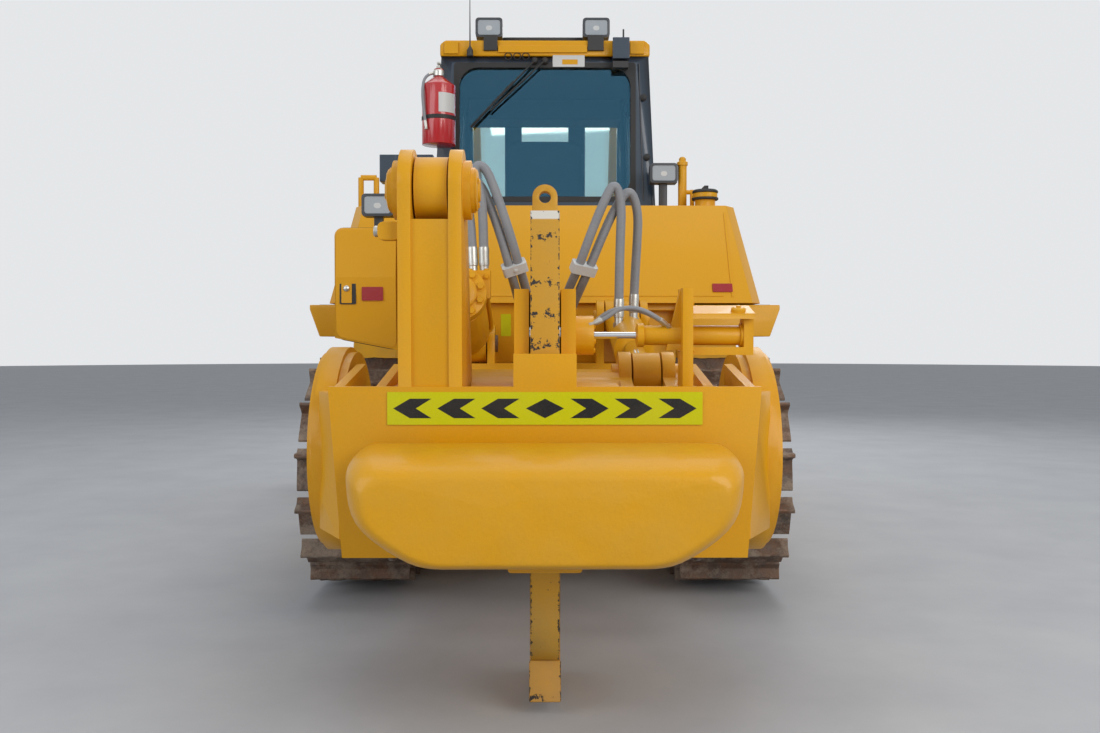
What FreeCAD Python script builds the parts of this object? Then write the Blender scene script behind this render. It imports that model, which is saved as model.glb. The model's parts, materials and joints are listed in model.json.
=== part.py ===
import FreeCAD, Part
import math
import os

# Crawler bulldozer with a single-shank ripper. Millimetres, +Z up, +Y forward, +X the right hand side
# of the photo (seen from behind). Every piece is built with Y = 0 at the sprocket shafts and Z = 0 on the
# ground, and is moved along Y on export, so that the origin lies under the middle of the whole machine.

V = FreeCAD.Vector

# Clearances
RUN = 0.3          # between pieces that seat on each other
GAP = 6.0          # round doors and other moving panels
SIDE_GAP = 8.0     # beside an eye that turns between two plates

# Undercarriage
GAUGE = 2100.0             # track centre to track centre
SHOE_WIDTH = 560.0
SHOE_COUNT = 42
SHOE_THICK = 20.0
SHOE_GAP = 8.0
GROUSER_HEIGHT = 78.0
GROUSER_BASE = 34.0
GROUSER_TIP = 20.0
GROUSER_EDGE = 26.0        # from the shoe's rear edge to the grouser
LINK_INNER = 62.0          # link height inside the pin line
LINK_OUTER = 70.0          # link height outside the pin line
LINK_THICK = 46.0
LINK_SPREAD = 85.0         # link centre to track centre
SPROCKET_R = 496.0         # pin line radius on the sprocket
SPROCKET_Z = 700.0
SPROCKET_TEETH = 25
SPROCKET_THICK = 70.0
IDLER_R = 420.0            # pin line radius on the idler
IDLER_Y = 3400.0
IDLER_RISE = 12.0          # idler's pin line above the ground run
ROLLER_R = 115.0
ROLLER_COUNT = 7
ROLLER_INSET = 60.0
ROLLER_FIRST_Y = 560.0
ROLLER_LAST_Y = 2920.0
CARRIER_R = 95.0
CARRIER_AT = (1150.0, 2300.0)
TRACK_X = GAUGE / 2
PIN_LINE_Z = LINK_OUTER + SHOE_THICK + GROUSER_HEIGHT
IDLER_Z = PIN_LINE_Z + IDLER_R + IDLER_RISE
TRACK_REAR_R = SPROCKET_R + LINK_OUTER + SHOE_THICK + GROUSER_HEIGHT

# Hull
CASE_HALF = 480.0
CASE_REAR_Y = -350.0
CASE_FRONT_Y = 1900.0
CASE_Z = (560.0, 1330.0)
FINAL_DRIVE_R = 330.0
FINAL_COVER_R = 290.0
HUB_R = 230.0
FRAME_HALF = 440.0
FRAME_RAIL = 120.0
FRAME_FRONT_Y = 3660.0
FRAME_Z = (760.0, 1230.0)
BELLY_Z = 500.0
BELLY_THICK = 25.0
HOOD_HALF = 430.0
HOOD_REAR_Y = 2230.0
HOOD_WALL = 22.0
HOOD_TOP_REAR = 2260.0
HOOD_TOP_FRONT = 2170.0
GRILLE_HALF = 520.0
GRILLE_DEPTH = 300.0
GRILLE_WALL = 60.0
GRILLE_SLATS = 9
GRILLE_BOTTOM = 720.0
ENGINE_HALF = FRAME_HALF - FRAME_RAIL - RUN
ENGINE_Y = (2350.0, 3400.0)
ENGINE_Z = (1100.0, 1980.0)
ENGINE_DOOR_Y = (2330.0, 3130.0)
ENGINE_DOOR_Z = (1310.0, 1680.0)
HOOD_HINGE_OUT = 8.0
HOOD_HINGE_R = 6.0
HOOD_HINGE_Z = (1350.0, 1560.0)
HINGE_LENGTH = 40.0
HINGE_LEAF = 34.0
STACK_Y = 2700.0
STACK_R = 75.0
STACK_TOP = 3050.0
MUFFLER_R = 150.0

# Cab
CAB_FLOOR_Z = 1690.0
CAB_BASE_Z = 1670.0
CAB_TOP_Z = 3280.0
CAB_BASE_HALF = 740.0
CAB_TOP_HALF = 665.0
CAB_BASE_Y = (575.0, 2200.0)
CAB_TOP_Y = (600.0, 2050.0)
CAB_WALL = 55.0
ROOF_THICK = 100.0
ROOF_OVERHANG = 8.0
ROOF_HATCH = 45.0
REAR_WINDOW_HALF = 568.0
WINDOW_Z = (2364.0, 3226.0)
FRONT_WINDOW_HALF = 560.0
FRONT_WINDOW_Z = (2180.0, 3200.0)
CAB_DOOR_Y = (790.0, 1760.0)
CAB_DOOR_Z = (1750.0, 3200.0)
CAB_DOOR_FRAME = 85.0
CAB_DOOR_PANEL_TOP = 2220.0
GLASS_THICK = 8.0
HINGE_OUT = 12.0           # cab door hinge line outside the wall
HINGE_R = 9.0
CAB_HINGE_Z = (1850.0, 2440.0, 3050.0)

# Rear body
TANK_HALF_BASE = 1245.0
TANK_HALF_TOP = 1150.0
TANK_REAR_BASE_Y = -200.0
TANK_REAR_TOP_Y = 150.0
TANK_FRONT_Y = 540.0
TANK_Z = (1670.0, 2270.0)
TANK_CHAMFER = 105.0
FENDER_X = (762.0, 1340.0)
FENDER_Y = (-200.0, 2280.0)
FENDER_TOP_Z = 1660.0
FENDER_SKIRT = 180.0
FENDER_PLATE = 25.0
FENDER_LEAN = 55.0                 # how far the skirt leans in at its foot
RAIL_R = 17.0
BOX_X = (-1145.0, -800.0)
BOX_Z = (1405.0, 2070.0)
BOX_SLOPE = 66.0                   # how much higher its foot is at the outer side
BOX_REAR_Y = -430.0
BOX_DOOR_THICK = 28.0
BOX_ROUND = 45.0
BOX_HINGE_R = 9.0

# Ripper linkage, in the side plane (Y, Z)
ARM_PIVOT = (-520.0, 845.0)        # lower arm on the tractor
BEAM_PIVOT = (-1790.0, 785.0)      # beam on the lower arm
BEAM_CENTRE = (-1700.0, 1000.0)    # middle of the beam's tube and cheeks
TOWER_EYE = (-2240.0, 2020.0)      # tilt cylinder's rod eye on the beam
TILT_HEAD = (-300.0, 1440.0)       # tilt cylinder's head on the tractor
LIFT_HEAD = (-330.0, 1580.0)       # lift cylinder's head on the tractor
LIFT_EYE = (-1730.0, 1300.0)       # lift cylinder's rod eye on the beam
LIFT_GAP = 130.0                   # between the low eye's two plates
LIFT_NOTCH_SLOPE = 10.0            # degrees
LIFT_NOTCH_DEPTH = 168.0
TILT_X = -418.0
LIFT_X = 425.0
ARM_X = (650.0, 790.0)             # lower arm's faces, both sides
ARM_INNER_X = (560.0, 700.0)       # the same where it passes between the tracks
ARM_DEPTH = 210.0
ARM_BOSS_R = 130.0
ARM_PIN_R = 55.0
BEAM_TUBE_R = 335.0
BEAM_TUBE_HALF = 620.0
CHEEK_R = 430.0
CHEEK_X = (798.0, 928.0)
CHEEK_LIP = 22.0
BACK_PLATE_Y = -2330.0
BACK_PLATE_THICK = 45.0
BACK_PLATE_HALF = 790.0
BACK_PLATE_FOOT_HALF = 741.0
BACK_PLATE_Z = (665.0, 1290.0)
BLOCK_HALF = 690.0
BLOCK_Z = (675.0, 1100.0)
BLOCK_DEPTH = 360.0
BLOCK_BEVEL = 185.0
BLOCK_CORNER = 60.0
BLOCK_CROWN = (200.0, 62.0)          # how far the crown slopes, along and down
SHANK_HALF = 54.0
SHANK_Y = (-2320.0, -1980.0)
SHANK_TOP_Z = 1935.0
SHANK_EYE_R = 48.0
SHANK_HOLE_R = 23.0
SHANK_EYE_Z = 2004.0
SHANK_EAR = 60.0                   # how thick the ear is, along Y
TIP_Z = 6.0
TIP_HALF = 62.0
SHANK_GAP = 6.0
POCKET_WALL = 55.0
POCKET_Z = (1090.0, 1650.0)
POCKET_REAR_TOP_Z = 1410.0
PLATE = 52.0                       # low eye's plates
TOWER_PLATE = 48.0
TOWER_FOOT = 130.0                 # how far behind its eye the tower's foot ends
TOWER_WEB = (10.0, 28.0)           # set in from the plates' rear edges, thickness
TOWER_BOSSES = ((110.0, 28.0), (84.0, 42.0))   # radius, how far outside the plate
TOWER_GAP = 136.0                  # between the two tower plates
TOWER_TOP_R = 150.0
EYE_R = 122.0
LOW_EYE_R = 105.0
SIGN_HALF = 573.0
SIGN_Z = (1152.0, 1271.0)
SIGN_THICK = 5.0
PULLER_Z = 1478.0
PULLER_Y = -2150.0
PULLER_ROD_R = 13.0
PULLER_PIN_R = 32.0
PULLER_BARREL_R = 38.0
PULLER_TRAVEL = 170.0
BEAM_PIN_R = 60.0
BEAM_WASHER_R = 250.0
BEAM_WASHER_X = (626.0, 644.0)
PULLER_BOSS = (185.0, 75.0)        # how far out, radius
PULLER_BARREL_X = (350.0, 777.0)
PULLER_LUG_X = (519.0, 558.0)

# Ripper cylinders
TILT_ROD_R = 52.0
TILT_BARREL_R = 86.0
TILT_FLANGE_R = 136.0
TILT_BELLY = (118.0, 220.0)        # radius of the thick part, where it starts from the pin
GLAND = 60.0
BARREL_END = 50.0
BORE_GAP = 0.4
TILT_BARREL_LENGTH = 860.0         # from its pin to its gland
CYLINDER_PIN_R = 48.0
HEAD_EYE_R = 104.0
HEAD_PLATE = 40.0
HEAD_GAP = 2 * 92.0 + 2 * SIDE_GAP    # between a head's two plates
LIFT_ROD_R = 50.0
LIFT_BARREL_R = 95.0
LIFT_BARREL_LENGTH = 880.0
LIFT_ROD_INSIDE = 190.0
TILT_ROD_INSIDE = 300.0

# Blade and its linkage
BLADE_CENTRE_HALF = 1500.0
BLADE_HALF = 2030.0
BLADE_WING_TURN = 27.0
BLADE_Z = (8.0, 1800.0)
BLADE_FRONT_Y = 4900.0
BLADE_HOLLOW = 230.0
BLADE_SKIN = 34.0
EDGE_HEIGHT = 260.0
EDGE_THICK = 30.0
BLADE_PIVOT = (1300.0, 470.0)
PUSH_ARM_X = (TRACK_X + 345.0, TRACK_X + 495.0)
PUSH_ARM_DEPTH = 300.0
BLADE_BEAM_DEPTH = 75.0
PUSH_ARM_FRONT_Y = BLADE_FRONT_Y - BLADE_HOLLOW - BLADE_SKIN - BLADE_BEAM_DEPTH - RUN
BLADE_TRUNNION = (FRAME_FRONT_Y + 80.0, 2110.0)
BLADE_EYE = (4490.0, 520.0)
BLADE_CYL_X = 650.0
BLADE_STUB_R = 45.0
BLADE_EYE_R = 80.0
BLADE_EYE_HALF = 46.0
BLADE_ROD_R = 42.0
BLADE_BARREL_R = 80.0
BLADE_BARREL_HEAD = 200.0
BLADE_BARREL_TAIL = 1400.0
BLADE_ROD_INSIDE = 510.0           # rod inside its barrel at rest
BRACE_R = 70.0

REAR_END_Y = BACK_PLATE_Y - BACK_PLATE_THICK - RUN - BLOCK_DEPTH
WING_REACH = (BLADE_HALF - BLADE_CENTRE_HALF) * math.tan(math.radians(BLADE_WING_TURN))
FRONT_END_Y = BLADE_FRONT_Y + WING_REACH + (EDGE_THICK + RUN) / math.cos(math.radians(BLADE_WING_TURN))
ORIGIN_Y = (REAR_END_Y + FRONT_END_Y) / 2


def box(x0, x1, y0, y1, z0, z1):
    return Part.makeBox(x1 - x0, y1 - y0, z1 - z0, V(x0, y0, z0))


def tube_x(x0, x1, centre, radius):
    """A round bar along X with its centre at (y, z)."""
    return Part.makeCylinder(radius, x1 - x0, V(x0, centre[0], centre[1]), V(1, 0, 0))


def bar(start, end, radius):
    """A round bar from one point to another."""
    run = V(*end) - V(*start)
    return Part.makeCylinder(radius, run.Length, V(*start), run)


def side_plate(outline, x0, x1):
    """A plate of thickness x0..x1 with a polygon outline in the side plane (y, z)."""
    points = [V(x0, y, z) for y, z in outline]
    return Part.Face(Part.makePolygon(points + points[:1])).extrude(V(x1 - x0, 0, 0))


def cross_plate(outline, y0, y1):
    """A plate of thickness y0..y1 with a polygon outline seen from behind (x, z)."""
    points = [V(x, y0, z) for x, z in outline]
    return Part.Face(Part.makePolygon(points + points[:1])).extrude(V(0, y1 - y0, 0))


def join(shapes):
    return shapes[0].multiFuse(shapes[1:]).removeSplitter()


def both_sides(shape):
    """The shape and its mirror image across the machine's middle."""
    return [shape, shape.mirror(V(0, 0, 0), V(1, 0, 0))]


def along(start, end, distance):
    """The point at a distance from start towards end, in the side plane."""
    length = math.dist(start, end)
    return tuple(a + (b - a) * distance / length for a, b in zip(start, end))


def at_x(x, point):
    return (x, point[0], point[1])


def save(name, shapes):
    shape = shapes[0] if len(shapes) == 1 else Part.makeCompound(shapes)
    shape = shape.copy()
    shape.translate(V(0, -ORIGIN_Y, 0))
    shape.exportStep(f"parts/{name}.step")


# Track loop: circles that the pin line runs round, in order, in the side plane
GROUND_TURN_R = 60.0
LOOP = (
    # centre y, centre z, radius
    (0.0, SPROCKET_Z, SPROCKET_R),
    (ROLLER_FIRST_Y, PIN_LINE_Z + GROUND_TURN_R, GROUND_TURN_R),
    (ROLLER_LAST_Y, PIN_LINE_Z + GROUND_TURN_R, GROUND_TURN_R),
    (IDLER_Y, IDLER_Z, IDLER_R),
)


def loop_runs():
    """The pin line as straight runs and arcs, going forward along the ground."""
    lines = []
    for a, b in zip(LOOP, LOOP[1:] + LOOP[:1]):
        dy, dz = b[0] - a[0], b[1] - a[1]
        reach = math.hypot(dy, dz)
        turn = math.atan2(dz, dy) + math.acos((a[2] - b[2]) / reach) * -1
        ny, nz = math.cos(turn), math.sin(turn)
        lines.append(((a[0] + a[2] * ny, a[1] + a[2] * nz), (b[0] + b[2] * ny, b[1] + b[2] * nz), turn))
    runs = []
    for i, (start, end, turn) in enumerate(lines):
        runs.append(("line", start, end))
        circle = LOOP[(i + 1) % len(LOOP)]
        sweep = (lines[(i + 1) % len(lines)][2] - turn) % (2 * math.pi)
        runs.append(("arc", circle, turn, sweep))
    return runs


def run_length(run):
    return math.dist(run[1], run[2]) if run[0] == "line" else run[1][2] * run[3]


def loop_point(runs, distance):
    """The pin line's point at a distance along the loop."""
    for run in runs:
        length = run_length(run)
        if distance <= length:
            break
        distance -= length
    if run[0] == "line":
        share = distance / length
        return tuple(a + (b - a) * share for a, b in zip(run[1], run[2]))
    (cy, cz, radius), first = run[1], run[2]
    turn = first + distance / radius
    return (cy + radius * math.cos(turn), cz + radius * math.sin(turn))


def track_pins():
    runs = loop_runs()
    pitch = sum(run_length(run) for run in runs) / SHOE_COUNT
    return [loop_point(runs, pitch * i) for i in range(SHOE_COUNT)]


def track_outline(heights):
    """The loop's outline from points (share of pitch, mm along, mm outwards) set on every link."""
    pins = track_pins()
    points = []
    for a, b in zip(pins, pins[1:] + pins[:1]):
        pitch = math.dist(a, b)
        ty, tz = (b[0] - a[0]) / pitch, (b[1] - a[1]) / pitch
        for share, ahead, out in heights:
            t = share * pitch + ahead
            points.append((a[0] + ty * t + tz * out, a[1] + tz * t - ty * out))
    return points


def make_track(side):
    top = LINK_OUTER + SHOE_THICK
    taper = (GROUSER_BASE - GROUSER_TIP) / 2
    first = SHOE_GAP / 2 + GROUSER_EDGE
    shoe = (
        # share of pitch, mm along, mm outwards
        (0.0, SHOE_GAP / 2, top),
        (0.0, first, top),
        (0.0, first + taper, top + GROUSER_HEIGHT),
        (0.0, first + taper + GROUSER_TIP, top + GROUSER_HEIGHT),
        (0.0, first + GROUSER_BASE, top),
        (1.0, -SHOE_GAP / 2, top),
    )
    x = side * TRACK_X
    half = SHOE_WIDTH / 2
    under = track_outline(((0.5, 0.0, LINK_OUTER),))
    belt = side_plate(track_outline(shoe), x - half, x + half).cut(side_plate(under, x - half, x + half))
    outer = track_outline(((0.5, 0.0, LINK_OUTER + SHOE_THICK / 2),))
    inner = track_outline(((0.0, 0.0, -LINK_INNER),))
    solids = [belt]
    for sign in (-1, 1):
        x0 = x + sign * LINK_SPREAD - LINK_THICK / 2
        rail = side_plate(outer, x0, x0 + LINK_THICK).cut(side_plate(inner, x0, x0 + LINK_THICK))
        solids.append(rail)
    return join(solids)


def make_sprocket(side):
    tip = SPROCKET_R + 14
    root = SPROCKET_R - 44
    step = 2 * math.pi / SPROCKET_TEETH
    outline = []
    for tooth in range(SPROCKET_TEETH):
        for share, radius in ((0.0, root), (0.30, root), (0.52, tip), (0.78, tip)):
            turn = (tooth + share) * step
            outline.append((radius * math.cos(turn), SPROCKET_Z + radius * math.sin(turn)))
    x = side * TRACK_X
    half = SPROCKET_THICK / 2
    wheel = side_plate(outline, x - half, x + half)
    return wheel.cut(tube_x(x - half - 1, x + half + 1, (0.0, SPROCKET_Z), HUB_R + RUN))


def make_idler(side):
    x = side * TRACK_X
    centre = (IDLER_Y, IDLER_Z)
    pitch = sum(run_length(run) for run in loop_runs()) / SHOE_COUNT
    tread = math.sqrt(IDLER_R ** 2 - (pitch / 2) ** 2) - LINK_INNER - RUN
    half = LINK_SPREAD + LINK_THICK / 2
    guide = LINK_SPREAD - LINK_THICK / 2 - 6
    wheel = join([tube_x(x - half, x + half, centre, tread), tube_x(x - guide, x + guide, centre, tread + 22)])
    recess = tread - 60
    for sign in (-1, 1):
        inner, outer = sorted((x + sign * 40, x + sign * (half + 1)))
        wheel = wheel.cut(tube_x(inner, outer, centre, recess))
    hub = tube_x(x - half - YOKE_GAP + RUN, x + half + YOKE_GAP - RUN, centre, 90)
    return join([wheel, hub])


def roller_stations():
    """Evenly between the outermost pins that lie on the ground run."""
    grounded = [y for y, z in track_pins() if abs(z - PIN_LINE_Z) < 0.01]
    first, last = min(grounded) + ROLLER_INSET, max(grounded) - ROLLER_INSET
    step = (last - first) / (ROLLER_COUNT - 1)
    return [first + step * i for i in range(ROLLER_COUNT)]


ROLLER_FLANGE = 20.0
ROLLER_HALF = LINK_SPREAD + LINK_THICK / 2 + 26


def roller_axle_z():
    return PIN_LINE_Z + LINK_INNER + ROLLER_R + RUN


def make_rollers():
    solids = []
    for side in (-1, 1):
        x = side * TRACK_X
        for y in roller_stations():
            centre = (y, roller_axle_z())
            tread = tube_x(x - ROLLER_HALF + 24, x + ROLLER_HALF - 24, centre, ROLLER_R)
            flanges = [
                tube_x(x - ROLLER_HALF, x - ROLLER_HALF + 24, centre, ROLLER_R + ROLLER_FLANGE),
                tube_x(x + ROLLER_HALF - 24, x + ROLLER_HALF, centre, ROLLER_R + ROLLER_FLANGE),
            ]
            solids.append(join([tread] + flanges))
    return solids


def top_line_z(y):
    """Height of the pin line on the upper run."""
    start, end = loop_runs()[-2][1:3]
    return start[1] + (end[1] - start[1]) * (y - start[0]) / (end[0] - start[0])


FRAME_BEAM_HALF = 150.0
FRAME_BEAM_Z = (490.0, 740.0)
GUARD_X = ROLLER_HALF + RUN
GUARD_THICK = 26.0


def make_track_frame(side):
    x = side * TRACK_X
    low, high = FRAME_BEAM_Z
    axle = roller_axle_z()
    rear = SPROCKET_R + 44
    front = IDLER_Y - IDLER_R + LINK_INNER - 30
    nose = (
        (rear, low), (front, low), (front, high - 40), (front - 250, high), (rear + 260, high), (rear, low + 150),
    )
    solids = [side_plate(nose, x - FRAME_BEAM_HALF, x + FRAME_BEAM_HALF)]
    guard = (
        (ROLLER_FIRST_Y - 60, axle - 55), (ROLLER_LAST_Y + 60, axle - 55),
        (ROLLER_LAST_Y + 120, low + 10), (ROLLER_FIRST_Y - 40, low + 10),
    )
    for sign in (-1, 1):
        x0 = x + sign * (GUARD_X + GUARD_THICK / 2) - GUARD_THICK / 2
        solids.append(side_plate(guard, x0, x0 + GUARD_THICK))
        cap = ((ROLLER_FIRST_Y - 40, low), (ROLLER_LAST_Y + 100, low), (ROLLER_LAST_Y + 100, low + 30),
               (ROLLER_FIRST_Y - 40, low + 30))
        inner, outer = sorted((x + sign * (FRAME_BEAM_HALF - 20), x + sign * (GUARD_X + GUARD_THICK)))
        solids.append(side_plate(cap, inner, outer))
        yoke = (
            (front - 260, IDLER_Z - 60), (IDLER_Y + 90, IDLER_Z - 60), (IDLER_Y + 90, IDLER_Z + 60),
            (front - 260, IDLER_Z + 60),
        )
        x0 = x + sign * (LINK_SPREAD + LINK_THICK / 2 + YOKE_GAP + YOKE_THICK / 2) - YOKE_THICK / 2
        solids.append(side_plate(yoke, x0, x0 + YOKE_THICK))
    for y in CARRIER_AT:
        axle_z = top_line_z(y) - LINK_INNER - CARRIER_R - 3
        carrier = (y, axle_z)
        post = ((y - 60, high - 60), (y + 60, high - 60), (y + 45, axle_z), (y - 45, axle_z))
        inner = x - side * (LINK_SPREAD + LINK_THICK / 2 + 60)
        solids.append(side_plate(post, min(inner, inner + side * 40), max(inner, inner + side * 40)))
        shaft_end = x + side * (LINK_SPREAD + LINK_THICK / 2 + 20)
        solids.append(tube_x(min(inner, shaft_end), max(inner, shaft_end), carrier, 40))
        half = LINK_SPREAD + LINK_THICK / 2 + 14
        solids.append(tube_x(x - half, x + half, carrier, CARRIER_R))
    trunnion = (x + side * FRAME_BEAM_HALF, x + side * (PUSH_ARM_X[0] - TRACK_X + 130))
    solids.append(tube_x(min(trunnion), max(trunnion), BLADE_PIVOT, TRUNNION_R))
    flange = (x + side * (FRAME_BEAM_HALF - 10), x + side * (SHOE_WIDTH / 2 + 20))
    solids.append(tube_x(min(flange), max(flange), BLADE_PIVOT, TRUNNION_R + 60))
    return join(solids)


TRUNNION_R = 75.0
YOKE_GAP = 22.0
YOKE_THICK = 44.0
PIVOT_SHAFT_R = 85.0
PIVOT_SHAFT = (760.0, 610.0)
EQUALIZER_Y = 2650.0
EQUALIZER_HALF = 85.0
EQUALIZER_RISE = 60.0
EQUALIZER_DEPTH = 130.0


def make_sprockets():
    return [make_sprocket(side) for side in (-1, 1)]


def make_rear_case():
    low, high = CASE_Z
    body = box(-CASE_HALF, CASE_HALF, CASE_REAR_Y, CASE_FRONT_Y, low, high)
    solids = [body]
    centre = (0.0, SPROCKET_Z)
    face = TRACK_X - SPROCKET_THICK / 2 - RUN
    outer_face = TRACK_X + SPROCKET_THICK / 2 + RUN
    edge = TRACK_X + SHOE_WIDTH / 2 - 20
    drive = join([
        tube_x(CASE_HALF - 20, face, centre, FINAL_DRIVE_R),
        tube_x(face, outer_face, centre, HUB_R),
        tube_x(outer_face, edge - 60, centre, FINAL_COVER_R),
        tube_x(edge - 60, edge, centre, FINAL_COVER_R - 70),
    ])
    solids += both_sides(drive)
    shaft = bar((TRACK_X - FRAME_BEAM_HALF - RUN, *PIVOT_SHAFT), (CASE_HALF - 20, *PIVOT_SHAFT), PIVOT_SHAFT_R)
    solids += both_sides(shaft)
    return join(solids)


def make_main_frame():
    low, high = FRAME_Z
    rail = box(FRAME_HALF - FRAME_RAIL, FRAME_HALF, CASE_FRONT_Y, FRAME_FRONT_Y, low, high)
    solids = both_sides(rail)
    belly = (
        (CASE_FRONT_Y - 1200, BELLY_Z), (FRAME_FRONT_Y, BELLY_Z), (FRAME_FRONT_Y, BELLY_Z + BELLY_THICK),
        (CASE_FRONT_Y - 1200, BELLY_Z + BELLY_THICK),
    )
    solids.append(side_plate(belly, -FRAME_HALF, FRAME_HALF))
    wall = box(FRAME_HALF - 30, FRAME_HALF, CASE_FRONT_Y, FRAME_FRONT_Y, BELLY_Z, low + 10)
    solids += both_sides(wall)
    solids.append(box(-FRAME_HALF, FRAME_HALF, FRAME_FRONT_Y - 60, FRAME_FRONT_Y, BELLY_Z, high))
    solids.append(box(-FRAME_HALF, FRAME_HALF, CASE_FRONT_Y, CASE_FRONT_Y + 50, BELLY_Z, high))
    solids.append(box(-FRAME_HALF, FRAME_HALF, CASE_FRONT_Y - 1150, CASE_FRONT_Y - 1100, BELLY_Z, CASE_Z[0]))
    frame = join(solids)
    half = EQUALIZER_HALF + SIDE_GAP
    low, high = FRAME_BEAM_Z[1] - EQUALIZER_DEPTH - SIDE_GAP, FRAME_BEAM_Z[1] + EQUALIZER_RISE + SIDE_GAP
    return frame.cut(box(-FRAME_HALF - 1, FRAME_HALF + 1, EQUALIZER_Y - half, EQUALIZER_Y + half, low, high))


def make_equalizer_bar():
    """The cross beam that rocks under the engine and rests on both track frames."""
    low, high = FRAME_BEAM_Z[1] + RUN, FRAME_BEAM_Z[1] + EQUALIZER_RISE
    reach = TRACK_X + FRAME_BEAM_HALF - 30
    centre = FRAME_HALF - 40
    deep = FRAME_BEAM_Z[1] - EQUALIZER_DEPTH
    outline = (
        (-reach, low), (-centre - 180, low), (-centre, deep), (centre, deep), (centre + 180, low), (reach, low),
        (reach, high), (-reach, high),
    )
    return cross_plate(outline, EQUALIZER_Y - EQUALIZER_HALF, EQUALIZER_Y + EQUALIZER_HALF)


def make_engine():
    return box(-ENGINE_HALF, ENGINE_HALF, *ENGINE_Y, *ENGINE_Z)


def hood_outline(half):
    low = FRAME_Z[1]
    outer = (
        (HOOD_REAR_Y, low), (FRAME_FRONT_Y, low), (FRAME_FRONT_Y, HOOD_TOP_FRONT), (HOOD_REAR_Y, HOOD_TOP_REAR),
    )
    return side_plate(outer, -half, half)


def make_hood():
    """An inverted U over the engine, open below, with a door opening in each side."""
    front = FRAME_FRONT_Y
    low = FRAME_Z[1]
    inner = (
        (HOOD_REAR_Y + HOOD_WALL, low - 1), (front + 1, low - 1), (front + 1, HOOD_TOP_FRONT - HOOD_WALL),
        (HOOD_REAR_Y + HOOD_WALL, HOOD_TOP_REAR - HOOD_WALL),
    )
    shell = hood_outline(HOOD_HALF)
    shell = shell.cut(side_plate(inner, -HOOD_HALF + HOOD_WALL, HOOD_HALF - HOOD_WALL))
    shell = shell.cut(box(-HOOD_HALF - 1, HOOD_HALF + 1, *ENGINE_DOOR_Y, *ENGINE_DOOR_Z))
    hole = Part.makeCylinder(STACK_R + 12, 400, V(0, STACK_Y, HOOD_TOP_FRONT - 200))
    leaves = []
    for z in HOOD_HINGE_Z:
        leaves += both_sides(hood_hinge(z + HINGE_LENGTH + RUN, -1))
    return join([shell.cut(hole)] + leaves)


def hood_hinge(z, ahead):
    """One knuckle of an engine door's hinge with its leaf, behind or ahead of the hinge line."""
    x, y = HOOD_HALF + HOOD_HINGE_OUT, ENGINE_DOOR_Y[0]
    knuckle = Part.makeCylinder(HOOD_HINGE_R, HINGE_LENGTH, V(x, y, z))
    y0, y1 = sorted((y, y + ahead * HINGE_LEAF))
    return join([knuckle, box(HOOD_HALF - 4, HOOD_HALF + 4, y0, y1, z, z + HINGE_LENGTH)])


def make_engine_door(side):
    low, high = ENGINE_DOOR_Z[0] + GAP, ENGINE_DOOR_Z[1] - GAP
    rear, front = ENGINE_DOOR_Y[0] + GAP, ENGINE_DOOR_Y[1] - GAP
    panel = box(HOOD_HALF - HOOD_WALL, HOOD_HALF, rear, front, low, high)
    for i in range(5):
        z = low + 60 + i * (high - low - 120) / 4
        panel = panel.fuse(box(HOOD_HALF - 1, HOOD_HALF + 14, rear + 60, front - 60, z - 9, z + 9))
    panel = join([panel] + [hood_hinge(z, 1) for z in HOOD_HINGE_Z])
    return panel if side > 0 else panel.mirror(V(0, 0, 0), V(1, 0, 0))


def make_grille():
    """The radiator guard: a deep box frame with level slats in front and the cylinder brackets at its sides."""
    rear, front = FRAME_FRONT_Y + RUN, FRAME_FRONT_Y + GRILLE_DEPTH
    top = HOOD_TOP_FRONT + 20
    shell = box(-GRILLE_HALF, GRILLE_HALF, rear, front, GRILLE_BOTTOM, top)
    inner = GRILLE_HALF - GRILLE_WALL
    shell = shell.cut(box(-inner, inner, rear - 1, front + 1, GRILLE_BOTTOM + GRILLE_WALL, top - GRILLE_WALL))
    solids = [shell, box(-30, 30, front - 60, front, GRILLE_BOTTOM + 10, top - 10)]
    radiator = box(-inner - 5, inner + 5, rear + 30, rear + 150, GRILLE_BOTTOM + 40, top - 40)
    solids.append(radiator)
    step = (top - GRILLE_BOTTOM - 2 * GRILLE_WALL) / (GRILLE_SLATS + 1)
    for i in range(GRILLE_SLATS):
        z = GRILLE_BOTTOM + GRILLE_WALL + step * (i + 1)
        slat = ((front - 70, z - 20), (front - 62, z - 26), (front - 12, z + 20), (front - 20, z + 26))
        solids.append(side_plate(slat, -inner - 5, inner + 5))
    y, z = BLADE_TRUNNION
    bracket = ((y - 110, z - 190), (y + 110, z - 190), (y + 90, z + 60), (y + 40, z + 110), (y - 40, z + 110),
               (y - 90, z + 60))
    arm = side_plate(bracket, GRILLE_HALF - 5, BLADE_CYL_X - BLADE_BARREL_R - 22 - SIDE_GAP)
    solids += both_sides(arm)
    guard = join(solids)
    for stub in both_sides(tube_x(GRILLE_HALF, BLADE_CYL_X, BLADE_TRUNNION, BLADE_STUB_R + 0.05)):
        guard = guard.cut(stub)
    return guard


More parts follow.
